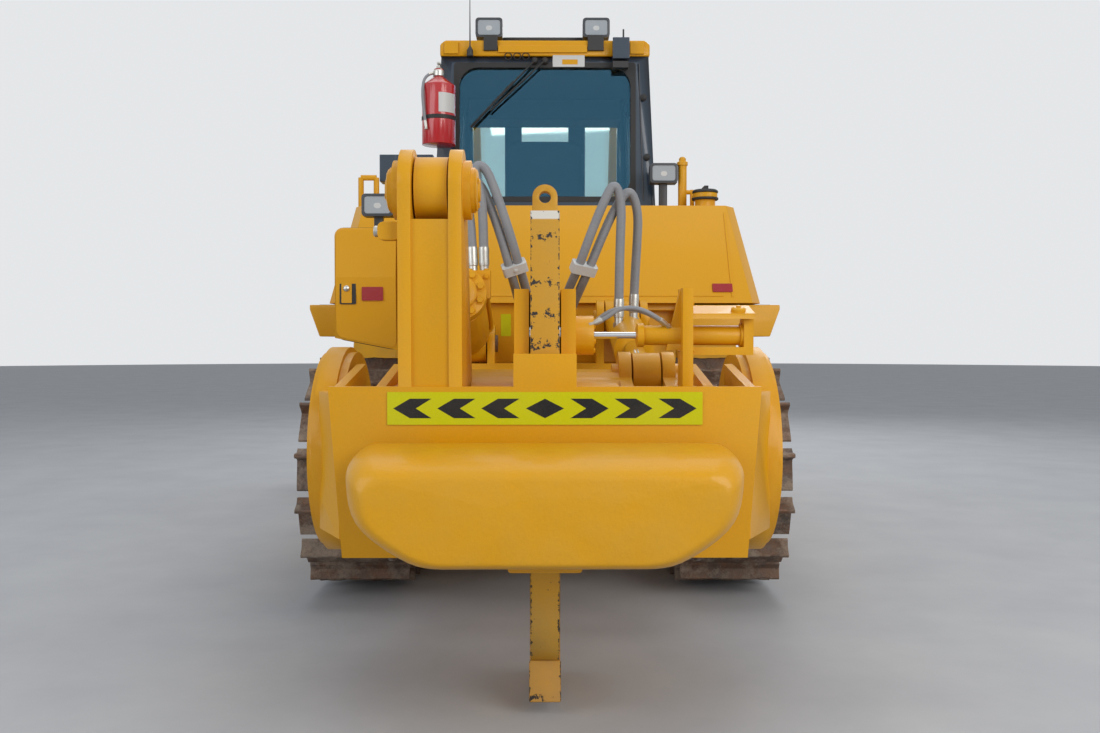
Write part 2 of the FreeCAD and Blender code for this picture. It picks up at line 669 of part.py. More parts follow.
def make_exhaust():
    """Silencer drum on the hood with a slant-cut stack."""
    base = HOOD_TOP_FRONT - 120
    hood_z = HOOD_TOP_REAR + (HOOD_TOP_FRONT - HOOD_TOP_REAR) * (STACK_Y - HOOD_REAR_Y) / (FRAME_FRONT_Y - HOOD_REAR_Y)
    drum_low = hood_z + 30
    solids = [
        Part.makeCylinder(STACK_R, STACK_TOP - base, V(0, STACK_Y, base)),
        Part.makeCylinder(MUFFLER_R, 420, V(0, STACK_Y, drum_low)),
        Part.makeCone(MUFFLER_R, STACK_R, 70, V(0, STACK_Y, drum_low + 420)),
    ]
    collar = Part.makeCylinder(STACK_R + 35, drum_low - base + 20, V(0, STACK_Y, base))
    collar = collar.cut(hood_outline(HOOD_HALF).translated(V(0, 0, RUN)))
    stack = join(solids + [collar])
    stack = stack.cut(Part.makeCylinder(STACK_R - 6, 300, V(0, STACK_Y, STACK_TOP - 250)))
    slant = ((STACK_Y - 120, STACK_TOP - 160), (STACK_Y + 120, STACK_TOP), (STACK_Y - 120, STACK_TOP + 10))
    return stack.cut(side_plate(slant, -120, 120))


def cab_solid(inset, z0=CAB_BASE_Z, z1=CAB_TOP_Z):
    """The cab's tapered block, drawn in from its walls by an inset."""
    def ring(z):
        share = (z - CAB_BASE_Z) / (CAB_TOP_Z - CAB_BASE_Z)
        half = CAB_BASE_HALF + (CAB_TOP_HALF - CAB_BASE_HALF) * share - inset
        rear = CAB_BASE_Y[0] + (CAB_TOP_Y[0] - CAB_BASE_Y[0]) * share + inset
        front = CAB_BASE_Y[1] + (CAB_TOP_Y[1] - CAB_BASE_Y[1]) * share - inset
        return [V(-half, rear, z), V(half, rear, z), V(half, front, z), V(-half, front, z)]
    low, high = ring(z0), ring(z1)
    walls = [[low[i], low[(i + 1) % 4], high[(i + 1) % 4], high[i]] for i in range(4)]
    faces = [Part.Face(Part.makePolygon(f + f[:1])) for f in [low, high] + walls]
    solid = Part.makeSolid(Part.makeShell(faces))
    return solid if solid.Volume > 0 else solid.reversed()


def cab_hinge(z, ahead):
    """One knuckle of a cab door's hinge with its leaf, on the leaning hinge line."""
    y = CAB_DOOR_Y[0]
    lean = (CAB_TOP_HALF - CAB_BASE_HALF) / (CAB_TOP_Z - CAB_BASE_Z)
    x = CAB_BASE_HALF + HINGE_OUT + lean * (z - CAB_BASE_Z)
    high = z + HINGE_LENGTH
    knuckle = bar((x, y, z), (x + lean * HINGE_LENGTH, y, high), HINGE_R)
    y0, y1 = sorted((y, y + ahead * HINGE_LEAF))
    return join([knuckle, box(x - HINGE_OUT - 6, x - HINGE_OUT + 6, y0, y1, z + 1, high - 1)])


def make_cab_shell():
    shell = cab_solid(0).cut(cab_solid(CAB_WALL, CAB_FLOOR_Z, CAB_TOP_Z + 1))
    middle = (CAB_BASE_Y[0] + CAB_BASE_Y[1]) / 2
    cuts = (
        # x0, x1, y0, y1, z0, z1
        (-REAR_WINDOW_HALF, REAR_WINDOW_HALF, 0, middle, *WINDOW_Z),
        (-FRONT_WINDOW_HALF, FRONT_WINDOW_HALF, middle, CAB_BASE_Y[1] + 100, *FRONT_WINDOW_Z),
        (-CAB_BASE_HALF - 50, CAB_BASE_HALF + 50, *CAB_DOOR_Y, *CAB_DOOR_Z),
        (-CAB_BASE_HALF - 50, CAB_BASE_HALF + 50, CAB_DOOR_Y[1] + 90, CAB_TOP_Y[1] - 70, *FRONT_WINDOW_Z),
    )
    for x0, x1, y0, y1, z0, z1 in cuts:
        shell = shell.cut(box(x0, x1, y0, y1, z0, z1))
    leaves = []
    for z in CAB_HINGE_Z:
        leaves += both_sides(cab_hinge(z + HINGE_LENGTH + RUN, -1))
    return join([shell] + leaves)


def make_cab_door(side):
    low, high = CAB_DOOR_Z[0] + GAP, CAB_DOOR_Z[1] - GAP
    rear, front = CAB_DOOR_Y[0] + GAP, CAB_DOOR_Y[1] - GAP
    wall = cab_solid(0).cut(cab_solid(CAB_WALL - 8))
    door = wall.common(box(0, CAB_BASE_HALF + 50, rear, front, low, high))
    frame = CAB_DOOR_FRAME
    door = door.cut(box(0, CAB_BASE_HALF + 50, rear + frame, front - frame, CAB_DOOR_PANEL_TOP, high - frame))
    door = join([door] + [cab_hinge(z, 1) for z in CAB_HINGE_Z])
    return door if side > 0 else door.mirror(V(0, 0, 0), V(1, 0, 0))


def glass_pane(region, half_inset):
    """A pane that follows the cab's taper in the middle of its wall, inside a box region."""
    skin = cab_solid(half_inset - GLASS_THICK / 2).cut(cab_solid(half_inset + GLASS_THICK / 2))
    return skin.common(box(*region))


def make_door_glass(side):
    frame = CAB_DOOR_FRAME
    rear, front = CAB_DOOR_Y[0] + GAP + frame + RUN, CAB_DOOR_Y[1] - GAP - frame - RUN
    region = (0, CAB_BASE_HALF, rear, front, CAB_DOOR_PANEL_TOP + RUN, CAB_DOOR_Z[1] - GAP - frame - RUN)
    pane = glass_pane(region, CAB_WALL / 2)
    return pane if side > 0 else pane.mirror(V(0, 0, 0), V(1, 0, 0))


def make_cab_glass():
    middle = (CAB_BASE_Y[0] + CAB_BASE_Y[1]) / 2
    rear = glass_pane((-REAR_WINDOW_HALF + RUN, REAR_WINDOW_HALF - RUN, 500, middle,
                       WINDOW_Z[0] + RUN, WINDOW_Z[1] - RUN), CAB_WALL / 2)
    front = glass_pane((-FRONT_WINDOW_HALF + RUN, FRONT_WINDOW_HALF - RUN, middle, CAB_BASE_Y[1],
                        FRONT_WINDOW_Z[0] + RUN, FRONT_WINDOW_Z[1] - RUN), CAB_WALL / 2)
    quarter = glass_pane((0, CAB_BASE_HALF, CAB_DOOR_Y[1] + 90 + RUN, CAB_TOP_Y[1] - 70 - RUN,
                          FRONT_WINDOW_Z[0] + RUN, FRONT_WINDOW_Z[1] - RUN), CAB_WALL / 2)
    return [rear, front] + both_sides(quarter)


def make_cab_roof():
    half = CAB_TOP_HALF + ROOF_OVERHANG
    rear, front = CAB_TOP_Y[0] - ROOF_OVERHANG, CAB_TOP_Y[1] + 90
    low, high = CAB_TOP_Z + RUN, CAB_TOP_Z + ROOF_THICK
    outline = ((-half, low), (half, low), (half, high - 25), (half - 30, high), (30 - half, high), (-half, high - 25))
    roof = cross_plate(outline, rear, front)
    hatch = box(-300, 300, rear + 220, front - 500, high - 5, high + ROOF_HATCH)
    return join([roof, hatch])


def make_seat():
    """Seat base, cushion and back rest, seen through the rear window."""
    low = CAB_FLOOR_Z + RUN
    solids = [
        box(-200, 200, 1080, 1450, low, low + 300),
        box(-260, 260, 1020, 1520, low + 300, low + 430),
        box(-250, 250, 960, 1080, low + 380, low + 1110),
        box(-330, -262, 1050, 1450, low + 480, low + 560),
        box(262, 330, 1050, 1450, low + 480, low + 560),
        box(-300, -255, 1060, 1140, low + 330, low + 500),
        box(255, 300, 1060, 1140, low + 330, low + 500),
    ]
    return join(solids)


def make_console():
    """Dash and the two lever boxes beside the seat."""
    low = CAB_FLOOR_Z + RUN
    solids = [
        box(-420, 420, 1900, 2060, low, low + 520),
        box(-560, -400, 1150, 2000, low, low + 420),
        box(400, 560, 1150, 2000, low, low + 420),
        bar((480, 1500, low + 400), (480, 1520, low + 640), 22),
        bar((-480, 1500, low + 400), (-480, 1520, low + 640), 22),
    ]
    return join(solids)


def make_fuel_tank():
    """Tank behind the cab: the rear face leans forward, and its edges and ends are bevelled."""
    low, high = TANK_Z
    wall = (
        (TANK_REAR_BASE_Y, low), (TANK_FRONT_Y, low), (TANK_FRONT_Y, high), (TANK_REAR_TOP_Y, high),
    )
    body = side_plate(wall, -TANK_HALF_BASE, TANK_HALF_BASE)
    trim = TANK_HALF_BASE - TANK_HALF_TOP
    side = cross_plate(
        ((TANK_HALF_BASE, low), (TANK_HALF_TOP, high), (TANK_HALF_TOP, high + 1), (TANK_HALF_BASE + 60, high + 1),
         (TANK_HALF_BASE + 60, low)), TANK_REAR_BASE_Y - 50, TANK_FRONT_Y + 50)
    for cutter in both_sides(side):
        body = body.cut(cutter)
    corner = [V(TANK_HALF_BASE - TANK_CHAMFER, TANK_REAR_BASE_Y - 60, low - 1),
              V(TANK_HALF_BASE + 60, TANK_REAR_BASE_Y - 60, low - 1),
              V(TANK_HALF_BASE + 60, TANK_REAR_BASE_Y + TANK_CHAMFER + 60, low - 1)]
    lean = V(-trim, TANK_REAR_TOP_Y - TANK_REAR_BASE_Y, high - low)
    cutter = Part.Face(Part.makePolygon(corner + corner[:1])).extrude(lean * 1.1)
    for piece in both_sides(cutter):
        body = body.cut(piece)
    neck = [
        Part.makeCylinder(62, 60, V(985, 290, high - 5)),
        Part.makeCylinder(75, 42, V(985, 290, high + 50)),
    ]
    return join([body] + neck)


def make_fender(side):
    low = FENDER_TOP_Z - FENDER_SKIRT
    inner, outer = FENDER_X
    rear, front = FENDER_Y
    top = box(inner, outer, rear, front, FENDER_TOP_Z - FENDER_PLATE, FENDER_TOP_Z)
    foot, under = outer - FENDER_LEAN, FENDER_TOP_Z - FENDER_PLATE
    leaning = ((foot - FENDER_PLATE, low), (foot, low), (outer, under), (outer - FENDER_PLATE, under))
    skirt = cross_plate(leaning, rear, front)
    outline = ((inner, low), (foot, low), (outer, under), (outer, FENDER_TOP_Z), (inner, FENDER_TOP_Z))
    end = cross_plate(outline, rear, rear + FENDER_PLATE)
    wall = box(inner, inner + FENDER_PLATE, rear, front, low - 60, FENDER_TOP_Z)
    fender = join([top, skirt, end, wall])
    return fender if side > 0 else fender.mirror(V(0, 0, 0), V(1, 0, 0))


DECK_Z = (CASE_Z[1] + RUN, CAB_BASE_Z - RUN)


def make_deck():
    """The platform under the cab and tank, on the case and between the fenders."""
    low, high = DECK_Z
    inner = FENDER_X[0] - RUN
    core = box(-CASE_HALF, CASE_HALF, TANK_REAR_BASE_Y + 60, HOOD_REAR_Y - 20, low, high)
    plate = box(-inner, inner, TANK_REAR_BASE_Y + 60, HOOD_REAR_Y - 20, high - 40, high)
    ribs = []
    for y in (TANK_REAR_BASE_Y + 120, 900.0, 1700.0):
        ribs.append(box(-inner, inner, y, y + 60, low, high - 20))
    return join([core, plate] + ribs)


def locker_outline(inset):
    """The locker seen from behind, with its sloped foot, smaller by the inset on each side."""
    x0, x1 = BOX_X[0] + inset, BOX_X[1] - inset
    low, high = BOX_Z[0] + inset, BOX_Z[1] - inset
    return ((x0, low + BOX_SLOPE), (x1, low), (x1, high), (x0, high))


def make_rear_box():
    """Locker on the left fender, hollow, open to the rear behind its door."""
    x0 = BOX_X[0]
    front = FENDER_Y[0] - RUN
    high = BOX_Z[1]
    body = cross_plate(locker_outline(0), BOX_REAR_Y, front)
    edges = [e for e in body.Edges if abs(e.BoundBox.XMin - x0) < 1 and abs(e.BoundBox.XMax - x0) < 1
             and abs(e.BoundBox.ZMin - high) < 1]
    body = body.makeFillet(BOX_ROUND, edges)
    wall = 20
    return body.cut(cross_plate(locker_outline(wall), BOX_REAR_Y - 1, front - wall))


def make_rear_box_door():
    x0, x1 = BOX_X
    low, high = BOX_Z
    rear = BOX_REAR_Y - RUN - BOX_DOOR_THICK
    door = cross_plate(locker_outline(0), rear, BOX_REAR_Y - RUN)
    edges = [e for e in door.Edges if abs(e.BoundBox.XMin - x0) < 1 and abs(e.BoundBox.XMax - x0) < 1
             and abs(e.BoundBox.ZMin - high) < 1]
    door = door.makeFillet(BOX_ROUND, edges)
    latch = box(x0 + 32, x0 + 118, rear - 12, rear + 1, low + 251, low + 366)
    hinge = Part.makeCylinder(BOX_HINGE_R, high - low - 120, V(x1 + 4, rear - 6 + RUN, low + 60))
    return join([door, latch, hinge])


LAMP_SIZE = (170.0, 110.0, 120.0)


def make_lamps():
    """Roof lamps behind, the front pair, and the three work lamps on the tank and the locker."""
    width, depth, height = LAMP_SIZE
    roof = CAB_TOP_Z + ROOF_THICK + RUN
    tank = TANK_Z[1] + RUN
    places = (
        # x, y, foot z, how high the lamp stands on its foot
        (-360.0, CAB_TOP_Y[0] + 20, roof, 30),
        (330.0, CAB_TOP_Y[0] + 20, roof, 30),
        (-480.0, CAB_TOP_Y[1] - 60, roof, 30),
        (480.0, CAB_TOP_Y[1] - 60, roof, 30),
        (745.0, TANK_FRONT_Y - 130, tank, 175),
        (-900.0, TANK_FRONT_Y - 130, tank, 205),
        (-925.0, BOX_REAR_Y + 60, BOX_Z[1] + RUN, 75),
    )
    solids = []
    for x, y, z, rise in places:
        lamp = box(x - width / 2, x + width / 2, y, y + depth, z + rise, z + rise + height)
        foot = box(x - 25, x + 25, y + 30, y + 80, z, z + rise + 10)
        solids.append(join([lamp, foot]))
    return solids


def make_tank_rails():
    """Handrail on the tank's left and the breather column with its bent pipe on the right."""
    low = TANK_Z[1] + RUN
    x, y = -1085.0, TANK_FRONT_Y - 220
    rail = join([
        bar((x - 50, y, low), (x - 50, y, low + 190), RAIL_R), bar((x + 45, y, low), (x + 45, y, low + 190), RAIL_R),
        bar((x - 50, y, low + 190), (x + 45, y, low + 190), RAIL_R),
    ])
    x, y = 865.0, TANK_FRONT_Y - 95
    column = join([
        bar((x, y, low), (x, y, low + 285), 27), bar((x, y, low + 120), (x + 62, y, low + 120), 14),
        bar((x + 62, y, low), (x + 62, y, low + 134), 14),
    ])
    return [rail, column]


EXTINGUISHER_R = 105.0


def make_extinguisher():
    """Fire extinguisher on the left rear pillar."""
    x, y, low = -667.0, CAB_BASE_Y[0] - EXTINGUISHER_R - 20, 2684.0
    bottle = Part.makeCylinder(EXTINGUISHER_R, 370, V(x, y, low))
    shoulder = Part.makeCone(EXTINGUISHER_R, 40, 50, V(x, y, low + 370))
    head = Part.makeCylinder(30, 60, V(x, y, low + 415))
    bracket = box(x + 10, x + 70, y, CAB_TOP_Y[0] + 20, low + 120, low + 200)
    bracket = bracket.cut(cab_solid(-RUN))
    return join([bottle, shoulder, head, bracket])


def head_plate(head, x0, x1):
    """A plate that stands on the rear of the case and carries a cylinder's head."""
    rear = CASE_REAR_Y - RUN
    top = CASE_Z[1]
    y, z = head
    outline = (
        (rear, top - 330), (rear, top + RUN), (CASE_REAR_Y + 190, top + RUN), (y + HEAD_EYE_R, z), (y - HEAD_EYE_R, z),
        (rear - 60, z - 120), (rear - 60, top - 330),
    )
    return join([side_plate(outline, x0, x1), tube_x(x0, x1, head, HEAD_EYE_R)])


def make_ripper_bracket():
    """Plates on the rear of the case that carry the arms and both ripper cylinders."""
    rear = CASE_REAR_Y - RUN
    low, high = CASE_Z
    base = box(-CASE_HALF, CASE_HALF, rear - 60, rear, low, high)
    wide = abs(LIFT_X) + HEAD_EYE_R + HEAD_PLATE + SIDE_GAP
    solids = [base, box(-wide, wide, rear - 60, rear, high - 330, high)]
    y, z = ARM_PIVOT
    cheek = ((rear, z - 110), (rear, z + 230), (rear - 90, z + 200), (y - 110, z + 60), (y - 110, z - 60), (y - 60, z - 110))
    inner = ARM_INNER_X[0] - SIDE_GAP
    lug = side_plate(cheek, inner - 60, inner)
    side = box(CASE_HALF - 90, inner, rear - 60, rear, z - 110, z + 230)
    pin = tube_x(inner - 60, ARM_INNER_X[1] + 20, ARM_PIVOT, ARM_PIN_R)
    solids += both_sides(lug) + both_sides(side) + both_sides(pin)
    for x, head in ((TILT_X, TILT_HEAD), (LIFT_X, LIFT_HEAD)):
        for sign in (-1, 1):
            face = x + sign * HEAD_GAP / 2
            x0, x1 = sorted((face, face + sign * HEAD_PLATE))
            solids.append(head_plate(head, x0, x1))
    reach = HEAD_GAP / 2 + HEAD_PLATE + 14
    solids.append(tube_x(LIFT_X - reach, LIFT_X + reach, LIFT_HEAD, CYLINDER_PIN_R))
    bracket = join(solids)
    return bracket.cut(tube_x(TILT_X - reach - 20, TILT_X + reach + 20, TILT_HEAD, CYLINDER_PIN_R + 0.05))


def make_ripper_arm():
    """Two lower arms that spread round the tracks, joined by a cross tube."""
    solids = []
    y0, z0 = ARM_PIVOT
    y1, z1 = BEAM_PIVOT
    knee = along(ARM_PIVOT, BEAM_PIVOT, 520)
    half = ARM_DEPTH / 2
    inner0, outer0 = ARM_INNER_X
    inner1, outer1 = ARM_X
    slope = math.atan2(z1 - z0, y1 - y0)
    ny, nz = -math.sin(slope) * half, math.cos(slope) * half
    shank = (
        (y0 + ny, z0 + nz), (knee[0] + ny, knee[1] + nz), (knee[0] - ny, knee[1] - nz), (y0 - ny, z0 - nz),
    )
    tail = (
        (knee[0] + ny, knee[1] + nz), (y1 + ny, z1 + nz), (y1 - ny, z1 - nz), (knee[0] - ny, knee[1] - nz),
    )
    arm = join([
        side_plate(shank, inner0, outer0),
        tube_x(inner0, outer0, ARM_PIVOT, ARM_BOSS_R),
        side_plate(tail, inner1, outer1),
        tube_x(inner1, outer1, BEAM_PIVOT, ARM_BOSS_R + 30),
        bar(at_x(inner0 + 10, knee), at_x(outer1, knee), half),
    ])
    arm = arm.cut(tube_x(inner0 - 50, outer0 + 50, ARM_PIVOT, ARM_PIN_R + 0.05))
    arm = arm.cut(tube_x(inner1 - 50, outer1 + 50, BEAM_PIVOT, BEAM_PIN_R + 0.05))
    solids += both_sides(arm)
    solids.append(bar(at_x(-inner0 - 20, knee), at_x(inner0 + 20, knee), 85))
    return join(solids)


def make_beam_pins():
    """Pins of the arms in the beam's cheeks, each with its thrust washer inside the arm."""
    pin = tube_x(BEAM_TUBE_HALF + 4, CHEEK_X[1] + 30, BEAM_PIVOT, BEAM_PIN_R)
    return both_sides(join([pin, tube_x(*BEAM_WASHER_X, BEAM_PIVOT, BEAM_WASHER_R)]))


def lift_notch(start, end):
    """Room in the beam's tube for the lift cylinder at its lowest slope against the beam."""
    slope = math.radians(-LIFT_NOTCH_SLOPE)
    ahead = (math.cos(slope), math.sin(slope))
    base = (LIFT_EYE[0] + LIFT_NOTCH_DEPTH * ahead[1], LIFT_EYE[1] - LIFT_NOTCH_DEPTH * ahead[0])
    first = (base[0] + start * ahead[0], base[1] + start * ahead[1])
    last = (base[0] + end * ahead[0], base[1] + end * ahead[1])
    over = BEAM_CENTRE[1] + BEAM_TUBE_R + 200
    return (first, last, (last[0], over), (first[0], over))


def make_ripper_beam():
    y, z = BEAM_CENTRE
    tube = tube_x(-BEAM_TUBE_HALF, BEAM_TUBE_HALF, BEAM_CENTRE, BEAM_TUBE_R)
    for half, start, end in ((LIFT_GAP / 2, -168, 300), (LIFT_BARREL_R + SIDE_GAP, 200, 700)):
        tube = tube.cut(side_plate(lift_notch(start, end), LIFT_X - half, LIFT_X + half))
    solids = [tube]
    x0, x1 = CHEEK_X
    cheek = join([
        tube_x(x0, x1 - 44, BEAM_CENTRE, CHEEK_R - CHEEK_LIP),
        tube_x(x0 + 30, x1 - 22, BEAM_CENTRE, CHEEK_R),
        tube_x(x0 + 30, x1, BEAM_CENTRE, CHEEK_R - CHEEK_LIP),
    ])
    plate_front = BACK_PLATE_Y
    rear = plate_front - BACK_PLATE_THICK
    low, high = BACK_PLATE_Z
    half, foot = BACK_PLATE_HALF, BACK_PLATE_FOOT_HALF
    knuckle = [V(px, py, low + 60) for px, py in (
        (x0, y - 340), (x0 + 82, y - 340), (x0 + 82, y - 400), (half - 30, plate_front), (foot - 50, plate_front))]
    knuckle = Part.Face(Part.makePolygon(knuckle + knuckle[:1])).extrude(V(0, 0, high - low - 90))
    solids += both_sides(join([cheek, knuckle]))
    solids.append(cross_plate(((-foot, low), (foot, low), (half, high), (-half, high)), rear, plate_front))
    core = ((y - 100, z + 290), (y - 100, z - 300), (plate_front + 1, low + 10), (plate_front + 1, high - 20))
    for inner, outer in ((SHANK_HALF + 36, 290), (540, BEAM_TUBE_HALF)):
        solids += both_sides(side_plate(core, inner, outer))
    rib = ((y - 120, z + BEAM_TUBE_R + 25), (plate_front - 20, high - 12), (plate_front - 20, high - 60), (y - 120, z + 200))
    for x in (BEAM_TUBE_HALF - 10, half - 26):
        solids += both_sides(side_plate(rib, x - 18, x + 18))
    solids += [make_pocket(), make_tower(), make_low_eye(), make_puller_bracket()]
    beam = join(solids)
    for x0, x1 in ((-CHEEK_X[1] - 60, -CHEEK_X[0] + 60), (CHEEK_X[0] - 60, CHEEK_X[1] + 60)):
        beam = beam.cut(tube_x(x0, x1, BEAM_PIVOT, BEAM_PIN_R + 0.05))
    slot = box(-SHANK_HALF - SHANK_GAP, SHANK_HALF + SHANK_GAP, SHANK_Y[0] - SHANK_GAP, SHANK_Y[1] + SHANK_GAP, 0, 3000)
    beam = beam.cut(slot)
    return beam.cut(tube_x(-200, 200, (PULLER_Y, PULLER_Z), PULLER_PIN_R + RUN))


def make_pocket():
    """Guide box round the shank: side walls and a lower rear wall that stands on the back plate."""
    low, high = POCKET_Z
    half = SHANK_HALF + SHANK_GAP + POCKET_WALL
    front = SHANK_Y[1] + 110
    walls = box(-half, half, SHANK_Y[0] + 40, front, low, high)
    rear = box(-half, half, BACK_PLATE_Y - BACK_PLATE_THICK, front, low, POCKET_REAR_TOP_Z)
    boss = tube_x(half - 5, PULLER_BOSS[0], (PULLER_Y, PULLER_Z), PULLER_BOSS[1])
    return join([walls, rear, boss])


def make_tower():
    """Tall clevis on the left for the tilt cylinder's eye."""
    y, z = TOWER_EYE
    foot = BACK_PLATE_Z[1] - 120
    outline = (
        (y - TOWER_FOOT, foot), (BEAM_CENTRE[0] - 60, foot), (BEAM_CENTRE[0] - 180, foot + 230), (y + TOWER_TOP_R, z - 60),
        (y + TOWER_TOP_R, z), (y - TOWER_TOP_R, z),
    )
    solids = []
    for sign in (-1, 1):
        face = TILT_X + sign * TOWER_GAP / 2
        x0, x1 = sorted((face, face + sign * TOWER_PLATE))
        solids.append(side_plate(outline, x0, x1))
        solids.append(tube_x(x0, x1, TOWER_EYE, TOWER_TOP_R))
        for radius, reach in TOWER_BOSSES:
            b0, b1 = sorted((face + sign * 10, face + sign * (TOWER_PLATE + reach)))
            solids.append(tube_x(b0, b1, TOWER_EYE, radius))
    half = TOWER_GAP / 2 + 10
    inset, thick = TOWER_WEB
    top = EYE_R
    lean = (TOWER_TOP_R - TOWER_FOOT) / (z - foot)
    low_edge = y - TOWER_FOOT + inset
    top_edge = y - TOWER_TOP_R + lean * top + inset
    web = ((low_edge, foot), (low_edge + thick, foot), (top_edge + thick, z - top), (top_edge, z - top))
    solids.append(side_plate(web, TILT_X - half, TILT_X + half))
    return join(solids)


def make_low_eye():
    """Low clevis on the right for the lift cylinder's eye."""
    y, z = LIFT_EYE
    foot = BEAM_CENTRE[1] + 180
    outline = ((y - 330, foot), (y + 110, foot), (y + 110, z), (y - 110, z), (y - 330, foot + 60))
    solids = []
    gap = LIFT_GAP / 2
    for sign in (-1, 1):
        face = LIFT_X + sign * gap
        x0, x1 = sorted((face, face + sign * PLATE))
        solids.append(side_plate(outline, x0, x1))
        solids.append(tube_x(x0, x1, LIFT_EYE, 110))
        b0, b1 = sorted((face + sign * 10, face + sign * (PLATE + 26)))
        solids.append(tube_x(b0, b1, LIFT_EYE, 60))
    return join(solids)


def make_puller_bracket():
    """Lug and cover that carry the pin puller's barrel on the right."""
    y, z = PULLER_Y, PULLER_Z
    low = BACK_PLATE_Z[1] - 140
    x0, x1 = PULLER_LUG_X
    end = PULLER_BARREL_X[1] + 16
    lug = box(x0, x1, y - 90, y + 60, low, z + 178)
    gusset = cross_plate(((x0 - 55, z - 58), (x0, z + 178), (x0 + 1, z - 58)), y - 20, y + 20)
    shelf = side_plate(((y - 80, z + 62), (y + 50, z + 96), (y + 50, z + 116), (y - 80, z + 82)), x0, end)
    ends = box(end - 36, end, y - 50, y + 40, z - 75, z + 85)
    tray = box(x0, end, y - 50, y + 40, z - 75, z - 45)
    bracket = join([lug, gusset, shelf, ends, tray])
    return bracket.cut(tube_x(400, 900, (y, z), PULLER_BARREL_R + RUN))


def make_puller():
    """The puller's barrel, seated in its bracket."""
    centre = (PULLER_Y, PULLER_Z)
    barrel = tube_x(*PULLER_BARREL_X, centre, PULLER_BARREL_R)
    return barrel.cut(tube_x(PULLER_BARREL_X[0] - 10, 500 + PULLER_TRAVEL, centre, PULLER_ROD_R + 0.05))


def make_puller_rod():
    """Rod with the lock pin on its end; the pin goes through the pocket and the shank."""
    centre = (PULLER_Y, PULLER_Z)
    half = SHANK_HALF + SHANK_GAP + POCKET_WALL
    pin_end = PULLER_BARREL_X[0] - PULLER_TRAVEL - 15
    return join([
        tube_x(-half + 10, pin_end, centre, PULLER_PIN_R),
        tube_x(pin_end - 10, 480, centre, PULLER_ROD_R),
    ])


def make_push_block():
    """Cast block on the beam's rear face: sloped crown, bevelled corners and rounded rear edges."""
    low, high = BLOCK_Z
    front = BACK_PLATE_Y - BACK_PLATE_THICK - RUN
    rear = front - BLOCK_DEPTH
    bevel, corner = BLOCK_BEVEL, BLOCK_CORNER
    outline = (
        (-BLOCK_HALF + bevel, low), (BLOCK_HALF - bevel, low), (BLOCK_HALF, low + bevel * 0.75),
        (BLOCK_HALF, high - corner), (BLOCK_HALF - corner, high), (-BLOCK_HALF + corner, high),
        (-BLOCK_HALF, high - corner), (-BLOCK_HALF, low + bevel * 0.75),
    )
    block = cross_plate(outline, rear, front)
    length, drop = BLOCK_CROWN
    cuts = (
        ((rear - 1, low - 1), (rear - 1, low + 90), (rear + 40, low + 30), (rear + 110, low - 1)),
        ((rear - 1, high + 1), (rear + length, high + 1), (rear + length, high), (rear + 70, high - drop),
         (rear + 20, high - drop - 40), (rear - 1, high - drop - 110)),
    )
    for cut in cuts:
        block = block.cut(side_plate(cut, -BLOCK_HALF - 1, BLOCK_HALF + 1))
    for reach, depth in ((190, 60), (110, 150), (50, 250)):
        edge = [V(BLOCK_HALF - reach, rear - 1, low - 1), V(BLOCK_HALF + 1, rear - 1, low - 1),
                V(BLOCK_HALF + 1, rear + depth, low - 1)]
        cutter = Part.Face(Part.makePolygon(edge + edge[:1])).extrude(V(0, 0, high - low + 2))
        for piece in both_sides(cutter):
            block = block.cut(piece)
    return block


def make_sign():
    """Warning film board on the back plate above the block."""
    rear = BACK_PLATE_Y - BACK_PLATE_THICK - RUN
    return box(-SIGN_HALF, SIGN_HALF, rear - SIGN_THICK, rear, *SIGN_Z)


def shank_blade(half):
    rear, front = SHANK_Y
    outline = (
        (rear, SHANK_TOP_Z), (rear, 430), (rear + 60, 300), (rear + 190, 210), (front + 40, 150), (front + 60, 330),
        (front, 480), (front, SHANK_TOP_Z),
    )
    return side_plate(outline, -half, half)


def make_shank():
    middle = (SHANK_Y[0] + SHANK_Y[1]) / 2
    near = middle - SHANK_EAR / 2
    lug = Part.makeCylinder(SHANK_EYE_R, SHANK_EAR, V(0, near, SHANK_EYE_Z), V(0, 1, 0))
    neck = box(-SHANK_EYE_R, SHANK_EYE_R, near, near + SHANK_EAR, SHANK_TOP_Z - 5, SHANK_EYE_Z)
    shank = join([shank_blade(SHANK_HALF), lug, neck])
    shank = shank.cut(Part.makeCylinder(SHANK_HOLE_R, SHANK_EAR + 20, V(0, near - 10, SHANK_EYE_Z), V(0, 1, 0)))
    for i in range(4):
        shank = shank.cut(tube_x(-100, 100, (PULLER_Y, PULLER_Z - 190 * i), PULLER_PIN_R + RUN))
    return shank


def make_tip():
    """Shank guard and tooth."""
    rear, front = SHANK_Y
    outline = (
        (rear + 150, 60), (front + 20, 40), (front + 330, TIP_Z), (front + 340, TIP_Z + 26), (front + 120, 200),
        (front + 120, 330), (front + 45, 520), (front - 20, 520), (front - 20, 190), (rear + 180, 225),
    )
    tip = side_plate(outline, -TIP_HALF, TIP_HALF)
    return [tip.cut(shank_blade(TIP_HALF + 1).translated(V(0, RUN, -RUN)))]


def cylinder_rod(x, head, eye, start, rod_r, eye_r, eye_half):
    """A rod in the side plane at x, from a distance past the head to its eye."""
    return join([
        bar(at_x(x, along(head, eye, start)), at_x(x, eye), rod_r),
        tube_x(x - eye_half, x + eye_half, eye, eye_r),
    ])


